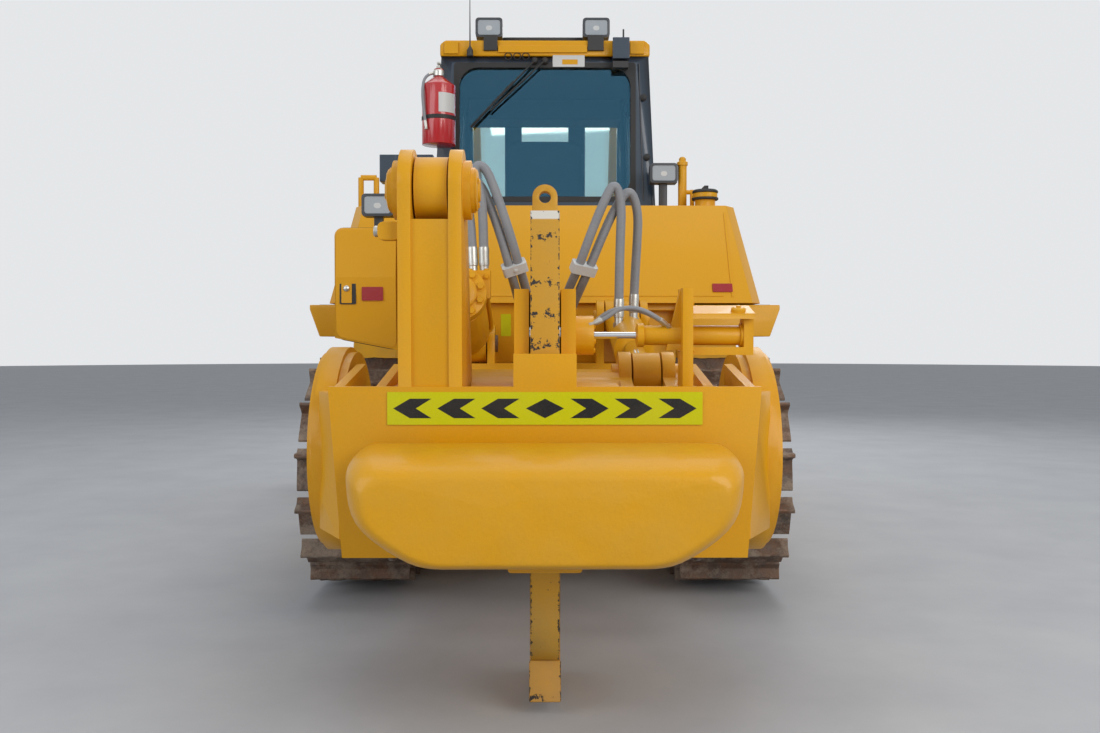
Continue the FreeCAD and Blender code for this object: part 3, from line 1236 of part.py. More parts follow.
def cylinder_barrel(x, head, eye, first, last, barrel_r, rod_r, flange_r, extras):
    """A barrel between two distances from its head, with a gland flange, its extras and its bore."""
    nose = at_x(x, along(head, eye, last))
    tube = join([
        bar(at_x(x, along(head, eye, first)), nose, barrel_r),
        bar(at_x(x, along(head, eye, last - GLAND)), nose, flange_r),
    ] + extras)
    bore = bar(at_x(x, along(head, eye, first + BARREL_END)), at_x(x, along(head, eye, last + 10)), rod_r + BORE_GAP)
    return tube.cut(bore)


def head_eye(x, head):
    half = HEAD_GAP / 2 - SIDE_GAP
    return tube_x(x - half, x + half, head, HEAD_EYE_R)


def head_bore(x, head):
    return tube_x(x - HEAD_GAP, x + HEAD_GAP, head, CYLINDER_PIN_R + 0.05)


def make_tilt_barrel():
    port = along(TILT_HEAD, TOWER_EYE, TILT_BARREL_LENGTH - GLAND - 70)
    radius, start = TILT_BELLY
    belly = bar(at_x(TILT_X, along(TILT_HEAD, TOWER_EYE, start)), at_x(TILT_X, port), radius)
    block = box(TILT_X + 30, TILT_X + 150, port[0] - 45, port[0] + 45, port[1] + 15, port[1] + TILT_BARREL_R + 66)
    barrel = cylinder_barrel(TILT_X, TILT_HEAD, TOWER_EYE, 60, TILT_BARREL_LENGTH, TILT_BARREL_R, TILT_ROD_R,
                             TILT_FLANGE_R, [head_eye(TILT_X, TILT_HEAD), belly, block])
    return barrel.cut(head_bore(TILT_X, TILT_HEAD))


def make_tilt_rod():
    start = TILT_BARREL_LENGTH - TILT_ROD_INSIDE
    return cylinder_rod(TILT_X, TILT_HEAD, TOWER_EYE, start, TILT_ROD_R, EYE_R, TOWER_GAP / 2 - SIDE_GAP)


def make_tilt_pin():
    """The head pin that the tilt barrel turns with, in the bracket's two plates."""
    reach = HEAD_GAP / 2 + HEAD_PLATE + 14
    return tube_x(TILT_X - reach, TILT_X + reach, TILT_HEAD, CYLINDER_PIN_R)


def make_lift_barrel():
    barrel = cylinder_barrel(LIFT_X, LIFT_HEAD, LIFT_EYE, 60, LIFT_BARREL_LENGTH, LIFT_BARREL_R, LIFT_ROD_R,
                             LIFT_BARREL_R + 1, [head_eye(LIFT_X, LIFT_HEAD)])
    return barrel.cut(head_bore(LIFT_X, LIFT_HEAD))


def make_lift_rod():
    start = LIFT_BARREL_LENGTH - LIFT_ROD_INSIDE
    return cylinder_rod(LIFT_X, LIFT_HEAD, LIFT_EYE, start, LIFT_ROD_R, LOW_EYE_R, LIFT_GAP / 2 - SIDE_GAP)


def make_blade_barrels():
    """Barrels carried near their glands by trunnions that turn in the radiator guard's brackets."""
    trunnion = tube_x(GRILLE_HALF + RUN, BLADE_CYL_X - BLADE_ROD_R - 10, BLADE_TRUNNION, BLADE_STUB_R)
    collar = bar(at_x(BLADE_CYL_X, along(BLADE_TRUNNION, BLADE_EYE, -75)),
                 at_x(BLADE_CYL_X, along(BLADE_TRUNNION, BLADE_EYE, 75)), BLADE_BARREL_R + 14)
    return both_sides(cylinder_barrel(BLADE_CYL_X, BLADE_TRUNNION, BLADE_EYE, -BLADE_BARREL_TAIL, BLADE_BARREL_HEAD,
                                      BLADE_BARREL_R, BLADE_ROD_R, BLADE_BARREL_R + 22, [trunnion, collar]))


def make_blade_rods():
    start = BLADE_BARREL_HEAD - BLADE_ROD_INSIDE
    return both_sides(cylinder_rod(BLADE_CYL_X, BLADE_TRUNNION, BLADE_EYE, start, BLADE_ROD_R, BLADE_EYE_R,
                                   BLADE_EYE_HALF))


def blade_section(y, thick):
    """The blade's curved skin in the side plane, hollow in front, from bottom to top."""
    low, high = BLADE_Z
    middle = (low + high) / 2 + 80
    front = Part.Arc(V(0, y, low), V(0, y - BLADE_HOLLOW, middle), V(0, y + 30, high)).toShape()
    back = Part.Arc(V(0, y - thick, low), V(0, y - BLADE_HOLLOW - thick, middle), V(0, y + 30 - thick, high)).toShape()
    ends = [Part.makeLine(V(0, y, low), V(0, y - thick, low)), Part.makeLine(V(0, y + 30, high), V(0, y + 30 - thick, high))]
    return Part.Face(Part.Wire(Part.__sortEdges__([front, back] + ends)))


def across_blade(section):
    """A blade section run along the middle and out along both turned wings."""
    low, high = BLADE_Z
    half = BLADE_CENTRE_HALF
    y = BLADE_FRONT_Y
    middle = section.extrude(V(2 * half, 0, 0)).translated(V(-half, 0, 0))
    width = (BLADE_HALF - half) / math.cos(math.radians(BLADE_WING_TURN))
    wing = section.extrude(V(width + 120, 0, 0)).translated(V(half - 60, 0, 0))
    wing.rotate(V(half, y, 0), V(0, 0, 1), BLADE_WING_TURN)
    keep = box(half - 1, BLADE_HALF, y - 600, y + 600, low, high)
    return [middle] + both_sides(wing.common(keep))


def make_blade():
    low, high = BLADE_Z
    half = BLADE_CENTRE_HALF
    y = BLADE_FRONT_Y
    solids = across_blade(blade_section(y, BLADE_SKIN))
    beams = (
        # height, depth behind the skin's deepest line, half height
        (low + 260, BLADE_BEAM_DEPTH, 130), (low + 1000, 40, 90), (high - 90, 40, 70),
    )
    back = y - BLADE_HOLLOW - BLADE_SKIN
    for z, reach, tall in beams:
        frame = box(-half, half, back - reach, y - 40, z - tall, z + tall)
        solids.append(frame.cut(trim_block(y, half)))
    for x in (0.0, 420.0, 860.0, 1300.0):
        rib = box(x - 16, x + 16, back - 40, y - 40, low + 130, high - 60)
        rib = rib.cut(trim_block(y, half))
        solids += both_sides(rib) if x else [rib]
    eye_y, eye_z = BLADE_EYE
    lug = ((back + 40, eye_z - 190), (eye_y - 60, eye_z - 70), (eye_y - 85, eye_z), (eye_y - 60, eye_z + 70),
           (back + 40, eye_z + 190))
    for x in (BLADE_CYL_X - BLADE_EYE_HALF - SIDE_GAP - 34, BLADE_CYL_X + BLADE_EYE_HALF + SIDE_GAP):
        plate = side_plate(lug, x, x + 34)
        boss = tube_x(x, x + 34, BLADE_EYE, 85)
        solids += both_sides(plate) + both_sides(boss)
    blade = join(solids)
    return blade


def trim_block(y, half):
    """Everything in front of the skin's back face, to shape the frames behind it."""
    low, high = BLADE_Z
    middle = (low + high) / 2 + 80
    back = Part.Arc(V(0, y - BLADE_SKIN / 2, low - 1), V(0, y - BLADE_HOLLOW - BLADE_SKIN / 2, middle),
                    V(0, y + 30 - BLADE_SKIN / 2, high + 1)).toShape()
    far = y + 700
    lines = [Part.makeLine(V(0, y - BLADE_SKIN / 2, low - 1), V(0, far, low - 1)),
             Part.makeLine(V(0, far, low - 1), V(0, far, high + 1)),
             Part.makeLine(V(0, far, high + 1), V(0, y + 30 - BLADE_SKIN / 2, high + 1))]
    face = Part.Face(Part.Wire(Part.__sortEdges__([back] + lines)))
    return face.extrude(V(2 * half + 400, 0, 0)).translated(V(-half - 200, 0, 0))


def make_cutting_edge():
    """Edge and end bits, bolted on the front of the skin."""
    low = BLADE_Z[0]
    strip = across_blade(blade_section(BLADE_FRONT_Y + EDGE_THICK + RUN, EDGE_THICK))
    keep = box(-BLADE_HALF, BLADE_HALF, BLADE_FRONT_Y - 600, BLADE_FRONT_Y + 600, low, low + EDGE_HEIGHT)
    return join(strip).common(keep).cut(make_blade())


def make_push_arm():
    """Box arm outside the track with its strut to the blade's upper corner."""
    x0, x1 = PUSH_ARM_X
    y, z = BLADE_PIVOT
    half = PUSH_ARM_DEPTH / 2
    front = PUSH_ARM_FRONT_Y
    outline = (
        (y - 60, z - 110), (y + 60, z - half), (front - 400, z - half - 30), (front, BLADE_Z[0] + 200),
        (front, BLADE_Z[0] + 460), (front - 400, z + half), (y + 60, z + half), (y - 60, z + 110),
    )
    arm = join([side_plate(outline, x0, x1), tube_x(x0, x1, BLADE_PIVOT, 170)])
    arm = arm.cut(tube_x(x0 - 10, x1 + 10, BLADE_PIVOT, TRUNNION_R + 0.05))
    middle = (x0 + x1) / 2
    low_end = (middle, front - 1150, z + half + 60)
    high_end = (middle - 60, front + 30, BLADE_Z[1] - 420)
    lug = box(middle - 45, middle + 45, low_end[1] - 90, low_end[1] + 90, z + half - 20, low_end[2] + 60)
    strut = bar(low_end, high_end, BRACE_R)
    return join([arm, lug, strut])


ROOT_NODES = (
    # node, solids
    ("track_left", lambda: [make_track(-1)]),
    ("track_right", lambda: [make_track(1)]),
    ("sprockets", make_sprockets),
    ("idlers", lambda: [make_idler(side) for side in (-1, 1)]),
    ("track_rollers", make_rollers),
    ("track_frames", lambda: [make_track_frame(side) for side in (-1, 1)]),
    ("rear_case", lambda: [make_rear_case()]),
    ("main_frame", lambda: [make_main_frame()]),
    ("equalizer_bar", lambda: [make_equalizer_bar()]),
    ("engine_block", lambda: [make_engine()]),
    ("hood", lambda: [make_hood()]),
    ("grille", lambda: [make_grille()]),
    ("exhaust_stack", lambda: [make_exhaust()]),
    ("cab_shell", lambda: [make_cab_shell()]),
    ("cab_glass", make_cab_glass),
    ("cab_roof", lambda: [make_cab_roof()]),
    ("operator_seat", lambda: [make_seat()]),
    ("control_console", lambda: [make_console()]),
    ("fuel_tank", lambda: [make_fuel_tank()]),
    ("fenders", lambda: [make_fender(side) for side in (-1, 1)]),
    ("deck", lambda: [make_deck()]),
    ("rear_box", lambda: [make_rear_box()]),
    ("work_lamps", make_lamps),
    ("tank_rails", make_tank_rails),
    ("fire_extinguisher", lambda: [make_extinguisher()]),
    ("ripper_bracket", lambda: [make_ripper_bracket()]),
)

MOVING_NODES = (
    # node, solids
    ("cab_door_left", lambda: [make_cab_door(-1)]),
    ("cab_door_right", lambda: [make_cab_door(1)]),
    ("door_glass_left", lambda: [make_door_glass(-1)]),
    ("door_glass_right", lambda: [make_door_glass(1)]),
    ("engine_door_left", lambda: [make_engine_door(-1)]),
    ("engine_door_right", lambda: [make_engine_door(1)]),
    ("rear_box_door", lambda: [make_rear_box_door()]),
    ("ripper_arm", lambda: [make_ripper_arm()]),
    ("beam_pins", make_beam_pins),
    ("ripper_beam", lambda: [make_ripper_beam()]),
    ("push_block", lambda: [make_push_block()]),
    ("warning_sign", lambda: [make_sign()]),
    ("ripper_shank", lambda: [make_shank()]),
    ("ripper_tip", make_tip),
    ("pin_puller", lambda: [make_puller()]),
    ("pin_puller_rod", lambda: [make_puller_rod()]),
    ("tilt_pin", lambda: [make_tilt_pin()]),
    ("tilt_barrel", lambda: [make_tilt_barrel()]),
    ("tilt_rod", lambda: [make_tilt_rod()]),
    ("lift_barrel", lambda: [make_lift_barrel()]),
    ("lift_rod", lambda: [make_lift_rod()]),
    ("blade", lambda: [make_blade()]),
    ("cutting_edge", lambda: [make_cutting_edge()]),
    ("push_arms", lambda: both_sides(make_push_arm())),
    ("blade_lift_barrels", make_blade_barrels),
    ("blade_lift_rods", make_blade_rods),
)

os.makedirs("parts", exist_ok=True)
for node, solids in ROOT_NODES + MOVING_NODES:
    save(node, solids())
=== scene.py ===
"""Looks of a crawler bulldozer with a single-shank ripper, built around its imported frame.

Lengths are metres. Places are measured from the sprocket shafts (y = 0) and the ground (z = 0), with x to the
right seen from behind, and each piece is moved along y into the frame when it is made.
"""

import json
import logging
import math
from dataclasses import dataclass, field
from enum import Enum

import bpy
import numpy as np
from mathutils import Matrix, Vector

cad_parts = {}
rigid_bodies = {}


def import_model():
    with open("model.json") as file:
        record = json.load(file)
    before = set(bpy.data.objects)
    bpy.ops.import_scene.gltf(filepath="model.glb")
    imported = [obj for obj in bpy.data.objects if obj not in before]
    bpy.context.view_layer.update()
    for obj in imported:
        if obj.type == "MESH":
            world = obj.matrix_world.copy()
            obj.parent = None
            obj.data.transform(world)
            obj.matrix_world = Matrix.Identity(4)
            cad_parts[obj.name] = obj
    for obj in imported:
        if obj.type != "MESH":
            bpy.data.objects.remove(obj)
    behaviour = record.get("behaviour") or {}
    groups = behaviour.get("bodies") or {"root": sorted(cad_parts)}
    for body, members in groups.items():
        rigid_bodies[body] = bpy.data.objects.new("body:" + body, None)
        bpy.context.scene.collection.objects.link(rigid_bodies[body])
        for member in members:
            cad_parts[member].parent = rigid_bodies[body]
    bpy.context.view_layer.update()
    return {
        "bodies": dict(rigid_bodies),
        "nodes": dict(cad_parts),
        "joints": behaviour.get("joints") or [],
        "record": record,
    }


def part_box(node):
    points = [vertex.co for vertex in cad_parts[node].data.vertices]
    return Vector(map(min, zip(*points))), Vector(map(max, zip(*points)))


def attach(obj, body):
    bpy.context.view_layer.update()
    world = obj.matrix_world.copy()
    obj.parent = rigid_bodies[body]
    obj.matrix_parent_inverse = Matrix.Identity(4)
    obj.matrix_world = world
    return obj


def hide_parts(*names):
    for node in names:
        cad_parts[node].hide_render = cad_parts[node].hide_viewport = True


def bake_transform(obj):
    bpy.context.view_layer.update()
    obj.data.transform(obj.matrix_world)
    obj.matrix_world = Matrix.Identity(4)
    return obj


LOG = logging.getLogger("bulldozer")
Array = np.ndarray
Pair = tuple[float, float]
Point = tuple[float, float, float]
Colour = Point


@dataclass
class Skin:
    """Points of one or more surfaces, and their faces as index arrays with one row for each face."""

    points: Array
    faces: list[Array]

    def moved(self, frames: Array) -> "Skin":
        """Copies of the skin, one under each 4 by 4 matrix: point times matrix, all copies at once."""
        frames = np.reshape(frames, (-1, 4, 4))
        points = np.einsum("cij,nj->cni", frames[:, :3, :3], self.points) + frames[:, None, :3, 3]
        start = np.arange(len(frames)) * len(self.points)
        faces = [(f[None] + start[:, None, None]).reshape(-1, f.shape[1]) for f in self.faces]
        return Skin(points.reshape(-1, 3), faces)

    def flipped(self) -> "Skin":
        """The mirror image across x = 0, with its faces turned to point outwards again."""
        return Skin(self.points * (-1, 1, 1), [f[:, ::-1] for f in self.faces])


def joined(skins: list[Skin]) -> Skin:
    """One skin from several, their points end to end."""
    starts = np.cumsum([0] + [len(s.points) for s in skins])
    faces = [f + start for s, start in zip(skins, starts) for f in s.faces]
    return Skin(np.concatenate([s.points for s in skins]), faces)


def mirrored(skin: Skin) -> Skin:
    """A skin with its mirror image across the machine's middle."""
    return joined([skin, skin.flipped()])


def unit(vectors: Array) -> Array:
    """Vectors scaled to length 1."""
    return vectors / np.maximum(np.linalg.norm(vectors, axis=-1, keepdims=True), 1e-9)


def frames_at(points: Array, normals: Array) -> Array:
    """4 by 4 matrices that put the origin on each point and turn +Z to each normal."""
    points, normals = np.atleast_2d(points), unit(np.atleast_2d(np.asarray(normals, float)))
    normals = np.broadcast_to(normals, points.shape)
    aside = np.where(np.abs(normals[:, :1]) < 0.9, (1.0, 0.0, 0.0), (0.0, 1.0, 0.0))
    second = unit(np.cross(normals, aside))
    frames = np.tile(np.eye(4), (len(points), 1, 1))
    frames[:, :3, 0], frames[:, :3, 1], frames[:, :3, 2] = np.cross(second, normals), second, normals
    frames[:, :3, 3] = points
    return frames


def web(rows: int, columns: int, wrap: bool) -> Array:
    """Quads between the rows of a grid of points; wrap joins the last column to the first."""
    row, column = np.meshgrid(np.arange(rows - 1), np.arange(columns if wrap else columns - 1), indexing="ij")
    here, after = row * columns + column, row * columns + (column + 1) % columns
    return np.stack((here, after, after + columns, here + columns), -1).reshape(-1, 4)



def rings(stack: Array, closed: bool = True) -> Skin:
    """A skin over a stack of equal rings (rows, columns, 3), its first and last ring closed by flat faces."""
    rows, columns = stack.shape[:2]
    faces = [web(rows, columns, True)]
    if closed:
        faces += [np.arange(columns)[None, ::-1], (np.arange(columns) + (rows - 1) * columns)[None]]
    return Skin(stack.reshape(-1, 3), faces)


def lathe(profile: list[Pair], sides: int = 20) -> Skin:
    """A round about Z: each (radius, height) of the profile is turned through the sides' even angles."""
    radius, height = np.array(profile, float).T
    turn = np.arange(sides) * 2 * math.pi / sides
    ring = np.stack((np.cos(turn), np.sin(turn), np.zeros(sides)), -1)
    return rings(ring[None] * radius[:, None, None] + height[:, None, None] * np.array((0, 0, 1.0)))


def prism(outline: Array, low: float, high: float) -> Skin:
    """An outline in XY drawn along Z from low to high."""
    return rings(np.stack([np.column_stack((outline, np.full(len(outline), z, float))) for z in (low, high)]))



def block(low: Point, high: Point) -> Skin:
    """A box between two corners."""
    (x0, y0, z0), (x1, y1, z1) = low, high
    return prism(((x0, y0), (x1, y0), (x1, y1), (x0, y1)), z0, z1)


def rounded(width: float, height: float, radius: float, arc: int = 5) -> Array:
    """A rectangle's outline about the origin with its corners as quarter circles."""
    turn = (np.arange(4)[:, None] + np.linspace(0, 1, arc)[None]) * math.pi / 2
    corner = np.array(((1, 1), (-1, 1), (-1, -1), (1, -1)))[:, None]
    centre = corner * (width / 2 - radius, height / 2 - radius)
    return (centre + radius * np.stack((np.cos(turn), np.sin(turn)), -1)).reshape(-1, 2)


def side_prism(outline: list[Pair], x0: float, x1: float) -> Skin:
    """A plate between x0 and x1 with its outline in the side plane (y, z)."""
    skin = prism(outline, x0, x1)
    return Skin(skin.points[:, (2, 0, 1)], skin.faces)


def rear_prism(outline: Array, y0: float, y1: float) -> Skin:
    """A plate between y0 and y1 with its outline seen from behind (x, z)."""
    skin = prism(outline, -y1, -y0)
    return Skin(skin.points[:, (0, 2, 1)] * (1, -1, 1), skin.faces)


def line_of(route: list[Point]) -> Array:
    """Points along a smooth route: a quadratic spline from its first point to its last.

    Each inner point is the middle control of one parabola, which starts and ends halfway to its neighbours, and the
    first and last parabola reach the route's ends.
    """
    at = np.array(route, float)
    halfway = (at[1:-2] + at[2:-1]) / 2
    start, end = np.concatenate((at[:1], halfway)), np.concatenate((halfway, at[-1:]))
    t = (np.arange(12) / 12)[None, :, None]
    spans = (1 - t) ** 2 * start[:, None] + 2 * t * (1 - t) * at[1:-1, None] + t ** 2 * end[:, None]
    return np.concatenate((spans.reshape(-1, 3), at[-1:]))


def distances(line: Array) -> Array:
    """How far along a line each of its points lies."""
    return np.concatenate(((0,), np.cumsum(np.linalg.norm(np.diff(line, axis=0), axis=1))))


def resampled(line: Array, step: float) -> Array:
    """The same line with points an even step apart."""
    far = distances(line)
    at = np.linspace(0, far[-1], max(2, round(far[-1] / step) + 1))
    return np.stack([np.interp(at, far, column) for column in line.T], -1)



def length_of(line: Array) -> float:
    """The sum of a line's steps."""
    return float(np.linalg.norm(np.diff(line, axis=0), axis=1).sum())


def tube(line: Array, radius: Array | float, sides: int = 12) -> Skin:
    """A round tube along a line: at each point a circle stands square to the line's run."""
    ahead = unit(np.gradient(line, axis=0))
    weakest = np.eye(3)[np.abs(ahead).max(0).argmin()]
    across = unit(np.cross(ahead, weakest))
    upward = np.cross(ahead, across)
    turn = np.arange(sides) * 2 * math.pi / sides
    circle = across[:, None] * np.cos(turn)[None, :, None] + upward[:, None] * np.sin(turn)[None, :, None]
    return rings(line[:, None] + circle * np.broadcast_to(radius, (len(line), sides))[..., None])



def pipe(route: list[Point], radius: float, sides: int = 12) -> Skin:
    """A bent round bar along a smooth route."""
    return tube(resampled(line_of(route), max(radius, 0.012)), radius, sides)


def bolt(head: float, washer: bool = True) -> Skin:
    """A hexagon head on a washer, standing on z = 0; head is its size over the corners."""
    half = head / 2
    hexagon = lathe([(half * 0.9, 0.0), (half, 0.0), (half, half * 0.55), (half * 0.86, half * 0.7)], 6)
    return joined([hexagon, lathe([(half * 1.35, 0.0), (half * 1.35, half * 0.16)], 14)]) if washer else hexagon


def ring_of(centre: Point, axis: Point, radius: float, count: int, start: float = 0.0) -> Array:
    """Frames on a circle about an axis, all turned to face along it."""
    turn = start + np.arange(count) * 2 * math.pi / count
    frame = frames_at(centre, axis)[0]
    points = np.stack((np.cos(turn) * radius, np.sin(turn) * radius, np.zeros(count)), -1)
    return frames_at(points @ frame[:3, :3].T + frame[:3, 3], axis)


class Soil(Enum):
    """How much dust and wear lies on a finish."""

    CLEAN = 0.05
    DUSTY = 0.22
    WORKED = 0.45
    MUDDY = 0.8


def weather_group() -> bpy.types.NodeTree:
    """The node group that all finishes share: dust on paint.

    Two noises make patches, more towards the ground, and mix dust over the colour.
    """
    kept = bpy.data.node_groups.get("weather")
    if kept:
        return kept
    tree = bpy.data.node_groups.new("weather", "ShaderNodeTree")
    for way, kind, labels in (("INPUT", "Color", "Paint Dust"), ("INPUT", "Float", "Amount Scale Roughness"),
                              ("OUTPUT", "Color", "Color"), ("OUTPUT", "Float", "Roughness Height")):
        for label in labels.split():
            tree.interface.new_socket(name=label, in_out=way, socket_type="NodeSocket" + kind)
    enter, leave = tree.nodes.new("NodeGroupInput").outputs, tree.nodes.new("NodeGroupOutput").inputs
    wire = Wiring(tree)
    place = wire.place()
    broad = wire.noise(place, enter["Scale"], 6.0, 0.6)
    fine = wire.noise(place, 160.0, 2.0, 0.5)
    low = wire.reach(wire.node("ShaderNodeSeparateXYZ", Vector=place).outputs["Z"], 2.2, 0.2)
    patches = wire.reach(broad, 0.42, 0.68)
    share = wire.sum_up("MULTIPLY", patches, wire.sum_up("MULTIPLY_ADD", low, 0.7, 0.45))
    share = wire.sum_up("MULTIPLY", share, enter["Amount"])
    tone = wire.mix(share, enter["Paint"], enter["Dust"])
    tone = wire.mix(wire.sum_up("MULTIPLY", wire.reach(fine, 0.3, 0.7), 0.05), tone, (0.05, 0.04, 0.03, 1))
    wire.feed(leave["Color"], tone)
    wire.feed(leave["Roughness"], wire.sum_up("MULTIPLY_ADD", share, 0.6, enter["Roughness"]))
    wire.feed(leave["Height"], fine)
    return tree



class Wiring:
    """Short ways to add nodes to a tree and link them."""

    def __init__(self, tree: bpy.types.NodeTree) -> None:
        """Keeps the tree."""
        self.tree = tree

    def feed(self, socket: bpy.types.NodeSocket, value: object) -> None:
        """Links a socket to an output, or sets it to a plain value."""
        if isinstance(value, bpy.types.NodeSocket):
            self.tree.links.new(value, socket)
        else:
            socket.default_value = value

    def node(self, kind: str, settings: dict | None = None, **inputs: object) -> bpy.types.Node:
        """A node with its settings, and with its inputs fed by name."""
        made = self.tree.nodes.new(kind)
        for key, value in (settings or {}).items():
            setattr(made, key, value)
        for key, value in inputs.items():
            self.feed(made.inputs[key.replace("_", " ")], value)
        return made

    def place(self) -> bpy.types.NodeSocket:
        """Object coordinates."""
        return self.node("ShaderNodeTexCoord").outputs["Object"]

    def noise(self, place: object, scale: object, detail: float, roughness: float) -> bpy.types.NodeSocket:
        """The value of a noise texture on a place."""
        shape = {"Scale": scale, "Detail": detail, "Roughness": roughness}
        return self.node("ShaderNodeTexNoise", Vector=place, **shape).outputs["Fac"]

    def reach(self, value: object, start: float, end: float) -> bpy.types.NodeSocket:
        """A value's share of the way from start to end, kept between 0 and 1."""
        ends = {"From Min": start, "From Max": end}
        return self.node("ShaderNodeMapRange", {"clamp": True}, Value=value, **ends).outputs["Result"]

    def sum_up(self, operation: str, *values: object) -> bpy.types.NodeSocket:
        """One step of arithmetic."""
        node = self.node("ShaderNodeMath", {"operation": operation})
        for socket, value in zip(node.inputs, values):
            self.feed(socket, value)
        return node.outputs[0]

    def mix(self, share: object, first: object, second: object) -> bpy.types.NodeSocket:
        """One colour over another by a share."""
        node = self.node("ShaderNodeMix", {"data_type": "RGBA"})
        for socket, value in ((node.inputs[0], share), (node.inputs[6], first), (node.inputs[7], second)):
            self.feed(socket, value)
        return node.outputs[2]

    def bump(self, height: object, strength: float, distance: float) -> bpy.types.NodeSocket:
        """A normal from a height."""
        return self.node("ShaderNodeBump", Height=height, Strength=strength, Distance=distance).outputs["Normal"]


@dataclass(frozen=True)
class Finish:
    """A surface: its colour under dust, its gloss and its small bumps."""

    name: str
    colour: Colour
    roughness: float = 0.4
    soil: Soil = Soil.DUSTY
    metallic: float = 0.0
    coat: float = 0.0
    dust: Colour = (0.42, 0.34, 0.24)
    patch: float = 3.0
    bump: float = 0.02
    extra: dict = field(default_factory=dict, hash=False)

    def material(self) -> bpy.types.Material:
        """The finish's material, made once."""
        kept = bpy.data.materials.get(self.name)
        if kept:
            return kept
        made = bpy.data.materials.new(self.name)
        made.use_nodes = True
        tree = made.node_tree
        wire = Wiring(tree)
        shader = tree.nodes["Principled BSDF"]
        weather = wire.node("ShaderNodeGroup", {"node_tree": weather_group()})
        for label, value in (("Paint", (*self.colour, 1)), ("Dust", (*self.dust, 1)), ("Amount", self.soil.value),
                             ("Scale", self.patch), ("Roughness", self.roughness)):
            wire.feed(weather.inputs[label], value)
        colour, rough, normal = self.pattern(wire, weather)
        values = {"Base Color": colour, "Roughness": rough, "Normal": normal, "Metallic": self.metallic,
                  "Coat Weight": self.coat, **self.extra}
        for label, value in values.items():
            wire.feed(shader.inputs[label], value)
        return made

    def pattern(self, wire: Wiring, weather: bpy.types.Node) -> tuple:
        """Colour, roughness and normal of the finish; a kind with its own pattern adds to them."""
        return weather.outputs["Color"], weather.outputs["Roughness"], wire.bump(
            weather.outputs["Height"], self.bump * 10, 0.001)


@dataclass(frozen=True)
class CastPaint(Finish):
    """Paint over a sand casting: broad waves and a fine grain."""

    def pattern(self, wire: Wiring, weather: bpy.types.Node) -> tuple:
        """Adds the waves and grain of the casting to the normal, and a faint mottling to the colour."""
        place = wire.place()
        waves = wire.noise(place, 7.0, 4.0, 0.55)
        grain = wire.noise(place, 90.0, 3.0, 0.6)
        height = wire.sum_up("MULTIPLY_ADD", grain, 0.12, waves)
        mottle = wire.sum_up("MULTIPLY", wire.reach(waves, 0.35, 0.7), 0.22)
        colour = wire.mix(mottle, weather.outputs["Color"], (*self.dust, 1))
        return colour, weather.outputs["Roughness"], wire.bump(height, 0.6, 0.012)


@dataclass(frozen=True)
class ChippedPaint(Finish):
    """Paint that is knocked off to black steel along two edges and across a few bands."""

    edge: float = 0.054
    bands: tuple[float, ...] = (1.84, 1.67, 1.556, 1.44)
    white: Pair = (9.0, 9.1)

    def pattern(self, wire: Wiring, weather: bpy.types.Node) -> tuple:
        """Chips where a noise beats a threshold that falls near the front face's edges (x) and near each band (z)."""
        place = wire.place()
        split = wire.node("ShaderNodeSeparateXYZ", Vector=place)
        specks = wire.noise(place, 38.0, 5.0, 0.7)
        aside = wire.sum_up("ABSOLUTE", split.outputs["X"])
        near = wire.sum_up("MULTIPLY", wire.reach(aside, self.edge * 0.8, self.edge),
                           wire.reach(aside, self.edge - 0.0002, self.edge - 0.0012))
        for height in self.bands:
            far = wire.sum_up("ABSOLUTE", wire.sum_up("SUBTRACT", split.outputs["Z"], height))
            near = wire.sum_up("MAXIMUM", near, wire.sum_up("MULTIPLY", wire.reach(far, 0.035, 0.0), 0.8))
        beaten = wire.sum_up("MULTIPLY_ADD", near, 0.22, specks)
        chips = wire.reach(beaten, 0.66, 0.69)
        low, high = self.white
        white = wire.sum_up("MULTIPLY", wire.reach(split.outputs["Z"], low - 0.002, low + 0.002),
                            wire.reach(split.outputs["Z"], high + 0.002, high - 0.002))
        colour = wire.mix(white, weather.outputs["Color"], (0.72, 0.68, 0.6, 1))
        colour = wire.mix(chips, colour, (0.02, 0.017, 0.015, 1))
        height = wire.sum_up("MULTIPLY", chips, -1.0)
        return colour, weather.outputs["Roughness"], wire.bump(height, 0.5, 0.002)


@dataclass(frozen=True)
class Mud(Finish):
    """Rusty steel with dried mud on it, rubbed bright where it works."""

    def pattern(self, wire: Wiring, weather: bpy.types.Node) -> tuple:
        """Three noises: rust tones, mud patches and grit; mud also lifts the surface."""
        place = wire.place()
        rust = wire.noise(place, 9.0, 6.0, 0.65)
        mud = wire.noise(place, 5.0, 8.0, 0.7)
        grit = wire.noise(place, 70.0, 4.0, 0.7)
        colour = wire.mix(wire.reach(rust, 0.35, 0.65), (*self.colour, 1), (0.19, 0.095, 0.05, 1))
        caked = wire.reach(mud, 0.46, 0.6)
        colour = wire.mix(wire.sum_up("MULTIPLY", caked, self.soil.value), colour, (*self.dust, 1))
        colour = wire.mix(wire.sum_up("MULTIPLY", wire.reach(grit, 0.5, 0.75), 0.5), colour, (0.03, 0.025, 0.02, 1))
        rough = wire.sum_up("MULTIPLY_ADD", caked, 0.35, self.roughness)
        height = wire.sum_up("MULTIPLY_ADD", grit, 0.5, caked)
        return colour, rough, wire.bump(height, 0.7, 0.008)


